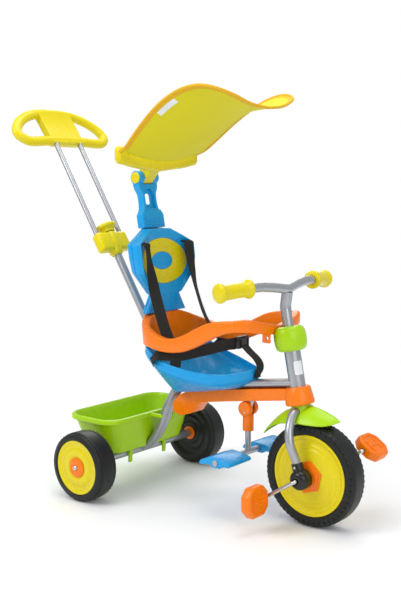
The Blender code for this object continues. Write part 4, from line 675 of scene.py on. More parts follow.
REAR_COVER = [(HUB_HOLE, 0.0153), (COVER_RADIUS, 0.0153), (COVER_RADIUS, 0.0276),
              (COVER_RADIUS - 0.0006, 0.0282),
              (0.0612, 0.0278), (0.059, 0.0262), (0.0565, 0.0246), (0.05, 0.0248), (0.0478, 0.0258),
              (0.0455, 0.0273), (0.03, 0.0276), (0.0282, 0.0268), (0.0265, 0.0256), (HUB_HOLE, 0.0255),
              (HUB_HOLE, 0.0153)]
REAR_SPOOL = [(rod_bore, -HALF_TYRE + 0.0004), (0.0172, -HALF_TYRE + 0.0008), (0.0185, -HALF_TYRE + 0.002),
              (0.0185, -0.0258), (HUB_RADIUS, -0.0258), (HUB_RADIUS, 0.0258), (0.024, 0.0258),
              (0.0245, 0.0266),
              (0.0242, 0.028), (0.0225, 0.0292), (0.015, 0.03), (0.014, 0.0308), (rod_bore, 0.0312),
              (rod_bore, -HALF_TYRE + 0.0004)]
NUT = [(0, 0.037), (0.0024, 0.0368), (0.0046, 0.0356), (0.006, 0.0338), (0.0066, 0.0318), (0.0066, 0.0316),
       (rod_bore, 0.0316), (rod_bore, 0.0335), (0, 0.0335)]

# %% Both rear wheels
for side, sign in SIDES.items():
    centre = (0, sign * REAR_SIDE, REAR_RADIUS)
    out = (0, sign, 0)
    body = f"rear_wheel_{side}"
    tyre = turned(f"rear_tyre_shell_{side}", REAR_TYRE, centre, out, 112)
    gathered(tyre, *(shoulder_blocks(centre, out, REAR_RADIUS - 0.0034, end * (HALF_TYRE - 0.0062),
                                     (0.0052, 0.0022, 0.003), 46, end * 0.6) for end in (-1, 1)))
    piece(tyre, "tyre_plastic", body, f"rear_tyre_{side}")
    piece(turned(f"rear_cover_{side}", REAR_COVER, centre, out, 112), "yellow_plastic", body,
          f"rear_wheel_cover_{side}")
    piece(turned(f"rear_spool_{side}", REAR_SPOOL, centre, out, 64), "orange_plastic", body,
          f"rear_hub_{side}")
    piece(turned(f"cap_nut_{side}", NUT, centre, out, 36), "bright_steel", "frame", f"axle_nut_{side}")

# %% [markdown]
# ## Front wheel and crank
# The front tyre is taller, with a plain flat tread between two shoulders of moulded blocks. Two yellow
# discs with raised rings close it, and an orange six-sided plate on each side locks on the crank.

# %% Front tyre and discs
FRONT_DISC = FRONT_RADIUS - 0.0254
HALF_FRONT = FRONT_WIDTH / 2
half = [(FRONT_DISC + GAP, HALF_FRONT - 0.0045), (FRONT_DISC + 0.0016, HALF_FRONT - 0.0018),
        (FRONT_DISC + 0.0045, HALF_FRONT - 0.0004), (FRONT_DISC + 0.009, HALF_FRONT),
        (FRONT_RADIUS - 0.012, HALF_FRONT - 0.0004), (FRONT_RADIUS - 0.0095, HALF_FRONT - 0.0016),
        (FRONT_RADIUS - 0.0052, HALF_FRONT - 0.0022), (FRONT_RADIUS - 0.003, HALF_FRONT - 0.005),
        (FRONT_RADIUS - 0.0022, HALF_FRONT - 0.0085), (FRONT_RADIUS - 0.0004, HALF_FRONT - 0.0105),
        (FRONT_RADIUS, HALF_FRONT - 0.014)]
profile = backwards(half[::-1], 1) + half[::-1]
tyre = turned("front_tyre_shell", profile + [profile[0]], FRONT_HUB, SIDEWAYS, 144)
BLOCK_ROWS = [(0.0112, 0.0004, (0.003, 0.0085, 0.0054), 48), (0.003, 0.0065, (0.0042, 0.0016, 0.0052), 60)]
for end in (-1, 1):
    for drop, inset, size, count in BLOCK_ROWS:
        gathered(tyre, shoulder_blocks(FRONT_HUB, SIDEWAYS, FRONT_RADIUS - drop, end * (HALF_FRONT - inset),
                                       size, count))
piece(tyre, "tyre_plastic", "front_wheel", "front_tyre")
crank_bore = 0.0048
DISC = [(crank_bore, 0.0002), (FRONT_DISC, 0.0002), (FRONT_DISC, 0.0244), (FRONT_DISC - 0.0008, 0.0252),
        (0.0885, 0.0255),
        (0.0868, 0.0248), (0.085, 0.023), (0.0832, 0.0225), (0.077, 0.0227), (0.0752, 0.0232),
        (0.0728, 0.0249),
        (0.0708, 0.0254), (0.0668, 0.0256), (0.0652, 0.0262), (0.0632, 0.0279), (0.0612, 0.0285),
        (0.049, 0.029),
        (0.0465, 0.0298), (crank_bore, 0.03), (crank_bore, 0.0002)]

# %% Hub plates
for side, sign in SIDES.items():
    out = (0, sign, 0)
    piece(turned(f"front_cover_{side}", DISC, FRONT_HUB, out, 128), "yellow_plastic", "front_wheel",
          f"front_disc_{side}")
    plates = []
    for reach, low, high in ((0.04, 0.0303, 0.0338), (0.033, 0.033, 0.036)):
        corners = arc((FRONT_HUB.x, FRONT_HUB.z), reach, 18, 318, 5)
        plates.append(slab(f"plate_{side}", corners, sign * low, sign * high, 0.0009))
    boss = turned("boss", [(crank_bore, 0.033), (0.01, 0.033), (0.01, 0.0442), (crank_bore, 0.0442),
                           (crank_bore, 0.033)], FRONT_HUB, out, 40)
    plate = welded(plates[0], plates[1])
    carved(plate, rod("bore", FRONT_HUB, FRONT_HUB + Vector(out) * 0.06, 2 * crank_bore, 32))
    gathered(plate, boss)
    plate.name = f"six_sided_plate_{side}"
    piece(plate, "orange_plastic", "front_wheel", f"hub_plate_{side}")

# %% Crank and pedals
CRANK_ANGLE = math.radians(213)
CRANK_ARM = Vector((math.cos(CRANK_ANGLE), 0.0, math.sin(CRANK_ANGLE))) * 0.085
CRANK_HALF, CRANK_SPLAY, PEDAL_START = 0.084, 0.0045, 0.096
PEDAL_WIDTH, PEDAL_LENGTH, PEDAL_THICKNESS = 0.076, 0.07, 0.024
PEDAL_MIDDLE = PEDAL_START + PEDAL_WIDTH / 2
pedal_end = PEDAL_START + PEDAL_WIDTH - 0.004
crank_path = [FRONT_HUB + CRANK_ARM + Vector((0, -pedal_end, 0)),
              FRONT_HUB + CRANK_ARM + Vector((0, -CRANK_HALF - CRANK_SPLAY, 0)),
              FRONT_HUB + Vector((0, -CRANK_HALF, 0)), FRONT_HUB + Vector((0, CRANK_HALF, 0)),
              FRONT_HUB - CRANK_ARM + Vector((0, CRANK_HALF + CRANK_SPLAY, 0)),
              FRONT_HUB - CRANK_ARM + Vector((0, pedal_end, 0))]
piece(pipe("crank_rod", crank_path, 0.009, 0.006), "bright_steel", "front_wheel", "crank")

# %% [markdown]
# ### Pedals
# Each pedal is a thick rounded block of orange plastic with clipped corners. Both faces have a sunk field
# with a raised rim and bars, which gives the shoe a hold. The block is drawn flat, carved and welded, and
# then turned to the angle at which it hangs.

# %% Pedals
for side, sign in SIDES.items():
    half_wide, reach, corner = PEDAL_WIDTH / 2, PEDAL_LENGTH / 2, 0.017
    outline = [(-half_wide + corner, -reach), (half_wide - corner, -reach),
               (half_wide, -reach + corner * 1.1),
               (half_wide, reach - corner * 1.1), (half_wide - corner, reach), (-half_wide + corner, reach),
               (-half_wide, reach - corner * 1.1), (-half_wide, -reach + corner * 1.1)]
    pedal = slab(f"pedal_block_{side}", outline, -PEDAL_THICKNESS / 2, PEDAL_THICKNESS / 2)
    rounded(pedal, 0.0048, 4, 25)
    for face in (-1, 1):
        depth = PEDAL_THICKNESS / 2 - 0.0022
        field = [(x * 0.74, z * 0.74) for x, z in outline]
        ends = sorted((face * depth, face * (PEDAL_THICKNESS / 2 + 0.004)))
        carved(pedal, slab("field", field, *ends, 0.0012))
        for low, high in (((-0.019, -0.016), (-0.0135, 0.016)), ((-0.014, -0.003), (0.014, 0.003)),
                          ((0.0135, -0.016), (0.019, 0.016))):
            ends = sorted((face * (depth - 0.001), face * (PEDAL_THICKNESS / 2 - 0.0004)))
            welded(pedal, block("bar", (low[0], ends[0], low[1]), (high[0], ends[1], high[1]), 0.0008))
    for end in (-1, 1):
        for offset in (-0.0125, 0.0, 0.0125):
            groove = rod("groove", (offset, -0.02, end * (reach + 0.0012)),
                         (offset, 0.02, end * (reach + 0.0012)),
                         0.0052, 20)
            carved(pedal, groove)
    middle = FRONT_HUB - sign * CRANK_ARM
    middle.y = sign * PEDAL_MIDDLE
    hang = math.radians(88 if side == "right" else 35)
    pedal.data.transform(Matrix.Translation(middle) @ Matrix.Rotation(hang + math.radians(90), 4, "Y")
                         @ Matrix.Rotation(math.radians(90), 4, "Z"))
    inner = Vector((middle.x, sign * (PEDAL_START - 0.002), middle.z))
    outer = Vector((middle.x, sign * (PEDAL_START + PEDAL_WIDTH - 0.0035), middle.z))
    carved(pedal, rod("spindle_room", inner, outer, 0.0106, 24))
    piece(pedal, "orange_plastic", f"pedal_{side}", f"pedal_{side}")

# %% [markdown]
# ## Handlebar, stem, fork and grips
# The bar dips at its middle and sweeps back into two yellow grips with round flanges. The stem rises
# through the head tube and curves back to the bar. Below, two bowed legs leave the crown and run into
# black plastic hub covers.

# %% Handlebar and stem
GRIP_SWEEP, GRIP_DROOP, GRIP_START, GRIP_LENGTH = 0.223, 0.059, 0.1236, 0.0937
bar_half = [Vector(point) for point in ((0.455, 0.0, 0.541), (0.447, 0.05, 0.548),
                                        (0.4424, 0.085, 0.5515), (0.4424, 0.112, 0.5522))]
grip_way = Vector((-math.sin(GRIP_SWEEP), math.cos(GRIP_SWEEP), -GRIP_DROOP)).normalized()
grip_foot = bar_half[-1] + grip_way * ((GRIP_START - bar_half[-1].y) / grip_way.y)
bar_left = bar_half + [grip_foot + grip_way * (GRIP_LENGTH - 0.006)]
bar_path = [MIRROR_Y @ point for point in reversed(bar_left[1:])] + bar_left
piece(pipe("bar", bar_path, BAR_TUBE, 0.025, 8), "silver_paint", "steering", "handlebar")
CROWN_TOP = skirt_foot - 0.0015
CROWN_FOOT = CROWN_TOP - 0.025

STEM_BEND = 0.101
stem_path = [STEER_POINT + STEER_UP * (CROWN_FOOT + 0.004), STEER_POINT + STEER_UP * STEM_BEND,
             Vector((0.454, 0, 0.535))]
stem = pipe("stem", stem_path, STEM_TUBE, 0.04, 9)
carved(stem, pipe("bar_room", bar_path, BAR_TUBE - 0.0002, 0.025, 8))
piece(stem, "silver_paint", "steering", "steering_stem")

# %% Fork
LEG_PATH = [(0.01, 0.2575), (0.03, 0.2625), (0.045, 0.25), (0.059, 0.228), (0.0655, 0.199),
            (0.06, 0.169), (0.0568, 0.15), (0.0565, 0.136)]


def leg_point(side, height):
    """The legs lie in the plane of the steering axis, and their lower ends run forward to the hub."""
    x = STEER_POINT.x - math.tan(STEER_TILT) * (height - STEER_POINT.z)
    ahead = FRONT_HUB.x - (STEER_POINT.x - math.tan(STEER_TILT) * (FRONT_RADIUS - STEER_POINT.z))
    return Vector((x + ahead * max(0.0, (0.21 - height) / (0.21 - FRONT_RADIUS)), side, height))


def fork_leg(name, sign, diameter=FORK_TUBE):
    points = through([tuple(leg_point(sign * side, height)) for side, height in LEG_PATH], 5)
    return pipe(name, points, diameter, 0.0, 8)


crown_radius, stem_room = 0.0175, STEM_TUBE / 2 + GAP
fork = on_steering("fork_crown", [(stem_room, CROWN_FOOT), (crown_radius, CROWN_FOOT),
                                  (crown_radius, CROWN_TOP),
                                  (stem_room, CROWN_TOP), (stem_room, CROWN_FOOT)], 56, 0.0008)
gathered(fork, *(fork_leg("leg", sign) for sign in (-1, 1)))
piece(fork, "silver_paint", "steering", "fork")

# %% Grips and hub covers
grip_bore, flange, hold = BAR_TUBE / 2 + GAP, 0.022, 0.017
GRIP_END = [(flange - 0.006, 0.0002), (flange - 0.0022, 0.0016), (flange - 0.0004, 0.0044), (flange, 0.0075),
            (flange - 0.0012, 0.011), (flange - 0.004, 0.015), (hold + 0.0004, 0.019), (hold, 0.023)]
GRIP = [(0, GRIP_LENGTH)] + [(radius, GRIP_LENGTH - height) for radius, height in GRIP_END] + GRIP_END[::-1]
GRIP += [(grip_bore, 0.0), (grip_bore, GRIP_LENGTH - 0.0055), (0, GRIP_LENGTH - 0.0055)]
COVER_INNER, COVER_OUTER, DOME = 0.045, 0.077, 0.0235
for side, sign in SIDES.items():
    flip = Matrix.Diagonal((1, sign, 1, 1))
    piece(turned(f"hand_grip_{side}", GRIP, flip @ grip_foot, flip @ grip_way, 64), "yellow_plastic",
          "steering",
          f"grip_{side}", 50)
    dome = [(0.0061, COVER_INNER), (DOME - 0.001, COVER_INNER), (DOME, COVER_INNER + 0.001)]
    dome += [(DOME, COVER_OUTER - 0.016)]
    dome += [(0.01 + 0.0135 * math.cos(math.radians(a)),
              COVER_OUTER - 0.016 + 0.016 * math.sin(math.radians(a)))
             for a in range(15, 91, 15)]
    dome += [(0.0061, COVER_OUTER), (0.0061, COVER_INNER)]
    cover = turned(f"fork_end_{side}", dome, FRONT_HUB, (0, sign, 0), 64)
    neck = pipe("neck", [leg_point(sign * 0.0568, 0.134), leg_point(sign * 0.057, 0.156)], 0.027, 0, 8)
    welded(cover, rounded(neck, 0.0015, 3, 40))
    carved(cover, fork_leg("leg_room", sign, FORK_TUBE + 2 * GAP))
    piece(cover, "black_plastic", "steering", f"hub_cover_{side}")
    rivet_foot = leg_point(sign * 0.0568, 0.148) + Vector((0, sign * 0.013, 0))
    rivet = turned(f"neck_rivet_{side}", [(0, 0), (0.003, 0), (0.0029, 0.001), (0.0018, 0.0018), (0, 0.0021)],
                   rivet_foot, (0, sign, 0), 24)
    piece(rivet, "bright_steel", "steering", ())

# %% [markdown]
# ## Mudguard
# A leaf of green plastic arches over the front wheel, pointed at both ends and widest at the crown. Its
# cross-sections are arches whose half width and drop change along the wheel, smoothed through the listed
# rows. The neck under the orange skirt is turned and flows into the leaf.

# %% Mudguard
LEAF = mm((392, 194, 2, 1), (410, 217, 15, 8), (435, 242, 27, 18), (460, 260, 35, 26),
          (487, 270, 40, 30), (510, 276, 41, 33), (530, 277, 39, 34), (550, 273, 35, 30),
          (570, 267, 28, 23), (588, 260, 17, 12), (600, 254, 2, 1))
rings = []
for x, ridge, half_wide, drop in through(LEAF, 4):
    shares = [k / 10 for k in range(-10, 11)]
    arch = [(half_wide * share, ridge - drop * abs(share) ** 1.7) for share in shares]
    rings.append([(x, y, z) for y, z in arch] + [(x, y * 0.97, z - WALL) for y, z in reversed(arch)])
leaf = skin("wheel_leaf", rings)
neck = on_steering("neck", [(0, CROWN_TOP - 0.03), (0.03, CROWN_TOP - 0.025), (0.0262, CROWN_TOP - 0.019),
                            (0.0238, CROWN_TOP - 0.012), (0.0226, CROWN_TOP - 0.005), (0.022, CROWN_TOP),
                            (0, CROWN_TOP)], 64)
welded(leaf, neck)
carved(leaf, on_steering("crown_room", [(0, -0.2), (crown_radius + GAP, -0.2), (crown_radius + GAP, -0.1),
                                        (0, -0.1)]),
       fork_leg("leg_room", 1, FORK_TUBE + 0.0016), fork_leg("leg_room", -1, FORK_TUBE + 0.0016))
piece(leaf, "green_plastic", "steering", "mudguard", 50)

# %% [markdown]
# ## Guard ring
# One hollow band runs round the child's waist, tall behind and slim in front, dipping at the hips. Its
# section changes along the way, so it is a skin over rows of foot, top and thickness, smoothed so that
# the band flows as the moulded one does. A small lug with a hole hangs under its front.

# %% Guard ring
RING = mm((81.5, 71.5, 0, 385, 457, 31), (82.5, 72.5, 45, 385, 456.5, 30), (90.5, 84, 74, 385, 449, 23),
          (106, 102.5, 98, 385, 437, 20.5), (132.5, 131.5, 114, 385, 426.5, 20),
          (165, 165, 120, 381, 417, 20), (200, 200, 120, 380, 413.5, 20),
          (240, 240, 120, 385.5, 425, 20), (280, 280, 120, 400.5, 445, 20),
          (315, 315, 120, 418, 461, 20), (350, 350, 119, 435, 469, 20), (385, 385, 114, 446, 473, 20),
          (412, 412, 99, 447, 476.5, 20), (425, 425, 70, 442, 470, 20), (429, 429, 35, 437, 462, 20),
          (430, 430, 0, 434, 456, 20))
RING_EDGE = 0.0055
dense = through(RING + backwards(RING[1:-1], 2), 4, closed=True)
sections = []
for i, (foot_x, top_x, y, low, high, thick) in enumerate(dense):
    before, after = dense[i - 1], dense[(i + 1) % len(dense)]
    along = Vector((after[0] - before[0], after[2] - before[2], 0)).normalized()
    across = Vector((along.y, -along.x, 0))
    corners = arc((thick / 2 - RING_EDGE, RING_EDGE), RING_EDGE, -90, 0, 4)
    edge_row = backwards(corners, 0) + corners
    foot, top = Vector((foot_x, y, 0)), Vector((top_x, y, 0))
    row = [foot + across * out + Vector((0, 0, low + up)) for out, up in edge_row]
    row += [top + across * out + Vector((0, 0, high - up)) for out, up in reversed(edge_row)]
    sections.append(row)
ring = skin("waist_ring", sections, joined=True)
lug = block("lug", (0.415, -0.044, 0.4175), (0.437, -0.039, 0.45), 0.0018)
carved(lug, rod("lug_hole", (0.429, -0.05, 0.429), (0.429, -0.03, 0.429), 0.0085, 32))
gathered(ring, lug)
grown = [(radius + 0.0005, height) for radius, height in barrel_side]
carved(ring, on_steering("collar_room", [(0, -0.0015)] + grown + [(0, 0.0565)], 96))
piece(ring, "orange_plastic", "frame", "guard_ring", 50)

# %% [markdown]
# ## Seat
# The seat is an open bucket that narrows to a saddle nose over the tubes. Round the rim's outline, each
# section runs from the hull up over the rim and down to the floor, and a smooth run between its places
# gives the bowl its soft inner wall. It is carved underneath for the twin tubes.

# %% Seat
RIM_HALF = mm((80, 0, 384.2), (81.5, 45, 384.2), (89, 78, 384.2), (103, 102, 384.2), (128, 116, 374),
              (156, 120, 360), (190, 120, 350), (225, 114, 343), (260, 103, 337), (300, 84, 333),
              (330, 60, 334), (352, 36, 339), (366, 16, 343), (370, 0, 344))
rim = [Vector(point) for point in through(RIM_HALF + backwards(RIM_HALF[1:-1], 1), 4, closed=True)]


def towards_middle(point, distance, lower=0.0):
    flat = Vector((0.22 - point.x, -point.y, 0))
    return point + flat.normalized() * distance - Vector((0, 0, lower))


def drawn_in(point, low_x, high_x, half_wide, rise):
    share = (point.x - RIM_HALF[0][0]) / (RIM_HALF[-1][0] - RIM_HALF[0][0])
    x = low_x + (high_x - low_x) * share
    return Vector((x, point.y * half_wide / 0.12, beam_middle(x) + FRAME_TUBE / 2 + rise))


rings = []
for point in rim:
    drop = 0.004 + 0.016 * min(1.0, max(0.0, (0.37 - point.x) / 0.09))
    hull = drawn_in(point, 0.137, 0.338, 0.06, -0.019)
    low_out = towards_middle(point, 0.001, 0.022)
    floor = drawn_in(point, 0.17, 0.31, 0.06, 0.006)
    inner_low = towards_middle(point, 0.0055, drop)
    wall_line = [hull, hull.lerp(low_out, 0.62) - Vector((0, 0, 0.005)), low_out - Vector((0, 0, 0.001)),
                 towards_middle(point, 0.0002, 0.008), towards_middle(point, 0.0003, 0.0012),
                 towards_middle(point, 0.0018), towards_middle(point, 0.0034, 0.0012), inner_low,
                 inner_low.lerp(floor, 0.45) - Vector((0, 0, 0.0045)),
                 inner_low.lerp(floor, 0.8) - Vector((0, 0, 0.002)),
                 floor, floor.lerp(Vector((0.24, 0, beam_middle(0.24) + FRAME_TUBE / 2 + 0.006)), 0.5)]
    rings.append([Vector(place) for place in through([tuple(place) for place in wall_line], 3)])
seat = skin("bucket", [list(row) for row in zip(*rings)])
under_beam = [(x, beam_middle(x)) for x in (0.166, 0.42)] + [(0.42, 0.2), (0.1, 0.2), (0.1, 0.24),
                                                              (0.118, 0.258)]
slot_half = FRAME_SPACING / 2 + FRAME_TUBE / 2 + 4 * GAP
carved(seat, slab("beam_room", under_beam, -slot_half, slot_half), *tube_rooms(4 * GAP))
piece(seat, "blue_plastic", "frame", "seat_shell", 50)

# %% [markdown]
# ## Backrest
# Two blue shells meet at a curved seam. The front one is a shallow dish with a raised rim, a yellow oval
# ring let into its face, and two slots for the shoulder straps. Both shells are skins over rows of height,
# half width and depths: straight between the rows, because the moulded one has crisp, angular shoulders.

# %% Backrest
BACK = mm((457.8, 77, 75, 0, 11.5, 11.8, 12, 16), (480, 64, 75, 0, 10.5, 10.8, 11, 17),
          (502, 51, 75, 0, 10.5, 10.8, 11, 19), (506, 58, 75, 2, 15, 13.5, 12, 21),
          (560, 104, 73.5, 13, 25, 14, 10, 27), (595, 109, 70, 15.5, 27.5, 14, 9, 29),
          (630, 110, 64.5, 14, 27, 18, 11, 28), (648, 78, 60.5, 6, 18, 16, 12, 29),
          (667, 41, 55, 1, 8, 8, 8, 31))

BACK_TOP = BACK[-1][0]


def seam_x(y, half_wide, seam, dish):
    return seam - dish * (1 - min(1.0, abs(y) / half_wide) ** 2)


def front_points(half_wide, seam, dish, rim, foot, middle):
    """Half of the front shell's section from the middle out: side and x of each point."""
    places = [(half_wide * 0.42, middle), (half_wide * 0.78, foot), (half_wide * 0.92, rim)]
    points = [(y, seam_x(y, half_wide, seam, dish) + depth) for y, depth in places]
    return points + [(half_wide - 0.0012, seam + rim * 0.45)]


def back_shell(name, way):
    rings = []
    for height, half_wide, seam, dish, rim, foot, middle, behind in BACK:
        seam_side = [(half_wide * share, seam_x(half_wide * share, half_wide, seam, dish) + way * GAP / 2)
                     for share in (1.0, 0.78, 0.42, 0.0)]
        if way > 0:
            outer = front_points(half_wide, seam, dish, rim, foot, middle)
        else:
            outer = [(half_wide * 0.4, seam - behind * 1.05),
                     (half_wide - min(0.016, half_wide * 0.3), seam - behind),
                     (half_wide - 0.0015, seam - behind * 0.45)]
        left = outer + seam_side
        section = left + backwards(left[:-1], 0)
        rings.append([(x, y, height) for y, x in section])
    return rounded(skin(name, rings), 0.003, 4, 20)


def face_x(height, y):
    """Where the front shell's face lies, at a height and a distance from the middle."""
    half_wide, seam, dish, rim, foot, middle, behind = at(BACK, height)
    points = front_points(half_wide, seam, dish, rim, foot, middle)
    return at([(0.0, points[0][1])] + points, abs(y))[0]


INLAY_MIDDLE, STRAP_SLOT, STRAP_SIDE, SLOT_DEEP = 0.5865, 0.6325, 0.082, 0.065


def oval_ring(name, grow, back, front, steps=96):
    outer, inner = (0.0825 + grow, 0.057 + grow), (0.0395 - grow, 0.0224 - grow)
    rings = []
    for i in range(steps):
        turn = math.tau * i / steps
        row = []
        for (wide, high), out in ((outer, front), (inner, front), (inner, back), (outer, back)):
            y, z = wide * math.cos(turn), INLAY_MIDDLE + high * math.sin(turn)
            row.append((face_x(z, y) + out, y, z))
        rings.append(row)
    return skin(name, rings, joined=True)


front = back_shell("back_front", 1)
carved(front, oval_ring("ring_room", 0.0006, -0.0045, 0.01))
for sign in (-1, 1):
    middle = sign * STRAP_SIDE
    carved(front, block("slot", (SLOT_DEEP, middle - 0.014, STRAP_SLOT - 0.0022),
                        (0.115, middle + 0.014, STRAP_SLOT + 0.0022)))
piece(front, "blue_plastic", "frame", "backrest_front", 25)
piece(back_shell("back_rear", -1), "blue_plastic", "frame", "backrest_rear", 25)
piece(rounded(oval_ring("oval_inlay", 0.0, -0.003, 0.0007), 0.0004, 2, 50), "yellow_plastic", "frame",
      "backrest_inlay", 40)

# %% [markdown]
# ## Canopy post
# A flat blue column plugs on top of the backrest and forks into two round ears for the tilting canopy.
# Its middle is an open channel: two side flanges with a thin web between them, and a slot through the web.
# It is drawn upright from slabs, a turned barrel for the ears and cutters, then leaned on to its pivot.

# %% Canopy post
POST_LEAN, POST_DEPTH, PIVOT_RISE = math.radians(10.6), 0.022, 0.1292
EAR_RADIUS, EAR_INNER, EAR_OUTER = 0.0175, 0.018, 0.034


def upright(name, half_outline, low, high):
    """A slab seen from in front: half an outline of (side, height), from x = low to x = high."""
    outline = half_outline + backwards(half_outline, 0)
    return turn_mesh(slab(name, outline, -high, -low), Matrix.Rotation(math.radians(90), 4, "Z"))


mast = [(0.031, 0.04), (0.0262, 0.05), (0.024, 0.06), (0.0236, 0.076), (0.025, 0.088),
        (0.0315, 0.1), (EAR_OUTER, 0.108), (EAR_OUTER, PIVOT_RISE)]
foot = [(0.039, 0), (0.039, 0.033), (0.03, 0.045)]
post = upright("mast", mast, -0.0125, 0.008)
welded(post, upright("foot", foot, -POST_DEPTH / 2, POST_DEPTH / 2))
welded(post, turned("ears", [(0, -EAR_OUTER), (EAR_RADIUS, -EAR_OUTER), (EAR_RADIUS, EAR_OUTER),
                             (0, EAR_OUTER)],
                    (0, 0, PIVOT_RISE), SIDEWAYS, 64))
channel = [(0.0185, 0.05), (0.0178, 0.062), (0.0178, 0.084), (0.015, 0.093), (0.008, 0.0985)]
lens = arc((0.0, 0.072), 0.012, -90, 0, 8) + arc((0.0, 0.0765), 0.012, 0, 90, 8)
carved(post, block("tongue_room", (-0.03, -EAR_INNER, 0.1114), (0.03, EAR_INNER, 0.16)),
       upright("front_channel", channel, -0.001, 0.03), upright("rear_channel", channel, -0.03, -0.0038),
       upright("slot", lens, -0.03, 0.03))
rounded(post, 0.0014, 3, 40)
for height in (0.009, 0.017, 0.025):
    welded(post, block("rib", (POST_DEPTH / 2 - 0.001, -0.033, height - 0.0018),
                       (POST_DEPTH / 2 + 0.0015, 0.033, height + 0.0018), 0.0008))
lean = Matrix.Rotation(-POST_LEAN, 4, "Y")
post_foot = CANOPY_PIVOT - lean @ Vector((0, 0, PIVOT_RISE))
turn_mesh(post, Matrix.Translation(post_foot) @ lean)
carved(post, block("below", (-0.05, -0.06, 0.6), (0.12, 0.06, BACK_TOP + GAP)))
piece(post, "blue_plastic", "frame", "canopy_post", 35)
cap = EAR_OUTER + GAP
PIN = [(0.004, 0), (0.004, cap), (0.014, cap), (0.0145, cap + 0.0006), (0.0143, cap + 0.0018),
       (0.013, cap + 0.0026),
       (0.006, cap + 0.0026), (0.0052, cap + 0.0018), (0, cap + 0.0018)]
pin = backwards(PIN[1:], 1) + PIN[1:]
piece(turned("pivot_pin", pin, CANOPY_PIVOT, SIDEWAYS, 48), "yellow_plastic", "frame", "canopy_pin")

# %% [markdown]
# ## Canopy
# A loop of wire is plugged into a yellow bracket, and thin cloth is stretched over it. The sides sweep up
# and over while the middle hangs lower, so the cloth is a saddle. The bound edge over the wire is a
# darker, doubled strip, and a small pale label near the right edge is left bare.

# %% Canopy bracket
WING = mm((48, 0, 827, 24, 34), (50, 50, 830, 23, 30), (54, 100, 837, 22, 33),
          (55, 124, 846.5, 23.5, 42), (55, 137, 849, 23, 43), (55, 144, 849.5, 19, 37),
          (55, 148, 849.5, 11, 24), (55, 149, 849.5, 5, 12))
rings = []
for x, y, z, wide, tall in through(backwards(WING[1:], 1) + WING, 4):
    a, b, soft = wide / 2, tall / 2, min(0.009, wide * 0.45)
    corner = arc((a - soft, b - soft), soft, 0, 90, 4)
    shape = corner + backwards(corner, 0)
    rings.append([(x + dx, y, z + dz) for dx, dz in shape + backwards(shape, 1)])
wing = skin("wing", rings)
tongue = arc((CANOPY_PIVOT.x, CANOPY_PIVOT.z), 0.0165, 120, 330, 24)
tongue += [(0.046, 0.812), (0.05, 0.842), (0.038, 0.842)]
welded(wing, slab("tongue", tongue, 0.0006 - EAR_INNER, EAR_INNER - 0.0006, 0.0008))
carved(wing, rod("pin_room", CANOPY_PIVOT - SIDEWAYS * 0.05, CANOPY_PIVOT + SIDEWAYS * 0.05, 0.0086, 32))

# %% Hoop
SIDE_EDGE = mm((55, 140, 855), (70, 144, 859), (90, 150, 869), (120, 157, 893), (160, 163, 925),
               (200, 168, 953), (240, 170, 975), (280, 169, 990), (320, 164, 996), (350, 153, 992),
               (372, 133, 983), (385, 103, 972), (390, 60, 959), (392, 0, 953))
MIDDLE_LINE = mm((55, 833), (80, 840), (150, 875), (200, 905), (280, 940), (340, 950), (392, 953))
smooth_edge = [Vector(row) for row in through(SIDE_EDGE, 5)]
hoop_path = smooth_edge + [MIRROR_Y @ point for point in reversed(smooth_edge[:-1])]
carved(wing, pipe("wire_room", hoop_path, 0.0076, 0, 5))
piece(wing, "yellow_plastic", "canopy", "canopy_bracket", 40)
piece(pipe("bound_edge", hoop_path, 0.007, 0, 6), "canopy_binding", "canopy", "canopy_hoop", 60)

# %% Cloth
CLOTH_STEPS, CLOTH_START = 40, 0.0668
middle_line = through(MIDDLE_LINE, 6)
edge_line = [tuple(point) for point in smooth_edge]
rows = []
for x, half_wide, edge_z in edge_line:
    if x < CLOTH_START or half_wide < 0.02:
        continue
    centre_z = at(middle_line, x)[0]
    rows.append([Vector((x, half_wide * s, centre_z + (edge_z - centre_z) * s * s))
                 for s in (2 * k / CLOTH_STEPS - 1 for k in range(CLOTH_STEPS + 1))])
cloth, cells = grid("canopy_cloth", rows)
width = sum((b - a).length for a, b in zip(rows[18], rows[18][1:]))
middle = [row[CLOTH_STEPS // 2] for row in rows]
length = sum((b - a).length for a, b in zip(middle, middle[1:]))
print("cloth is", round(width, 3), "m wide and", round(length, 3), "m long")
lay_map(cloth, cells, [k / CLOTH_STEPS * width for k in range(CLOTH_STEPS + 1)],
        [k / (len(rows) - 1) * length for k in range(len(rows))])
thickened(cloth, 0.0008)
piece(cloth, "canopy_fabric", "canopy", "canopy_fabric", 60)

# %% [markdown]
# ### Hem and label
# The cloth is turned over the wire and stitched down, which shows as a darker band all round the edge. It
# is a strip of grid: one side lies on the wire, the other a hem's width further in on the cloth's surface.
# The label is a smaller strip of the same surface, and it stays bare.

# %% Hem and label
def cloth_height(x, y):
    half_wide, edge_z = at(edge_line, x)
    centre_z = at(middle_line, x)[0]
    return centre_z + (edge_z - centre_z) * min(1.0, abs(y) / half_wide) ** 2


def edge_strip(name, first, last, near, far, thickness, steps=5):
    """A strip of cloth beside the wire, between two distances from it, for a run of the hoop's points."""
    rows = []
    for i in range(first, last + 1):
        ahead = hoop_path[min(i + 1, len(hoop_path) - 1)] - hoop_path[max(i - 1, 0)]
        inward = Vector((ahead.y, -ahead.x, 0)).normalized()
        row = []
        for k in range(steps + 1):
            place = hoop_path[i] + inward * (near + (far - near) * k / steps)
            row.append((place.x, place.y, cloth_height(place.x, place.y)))
        rows.append(row)
    return tidy(thickened(grid(name, rows)[0], thickness))


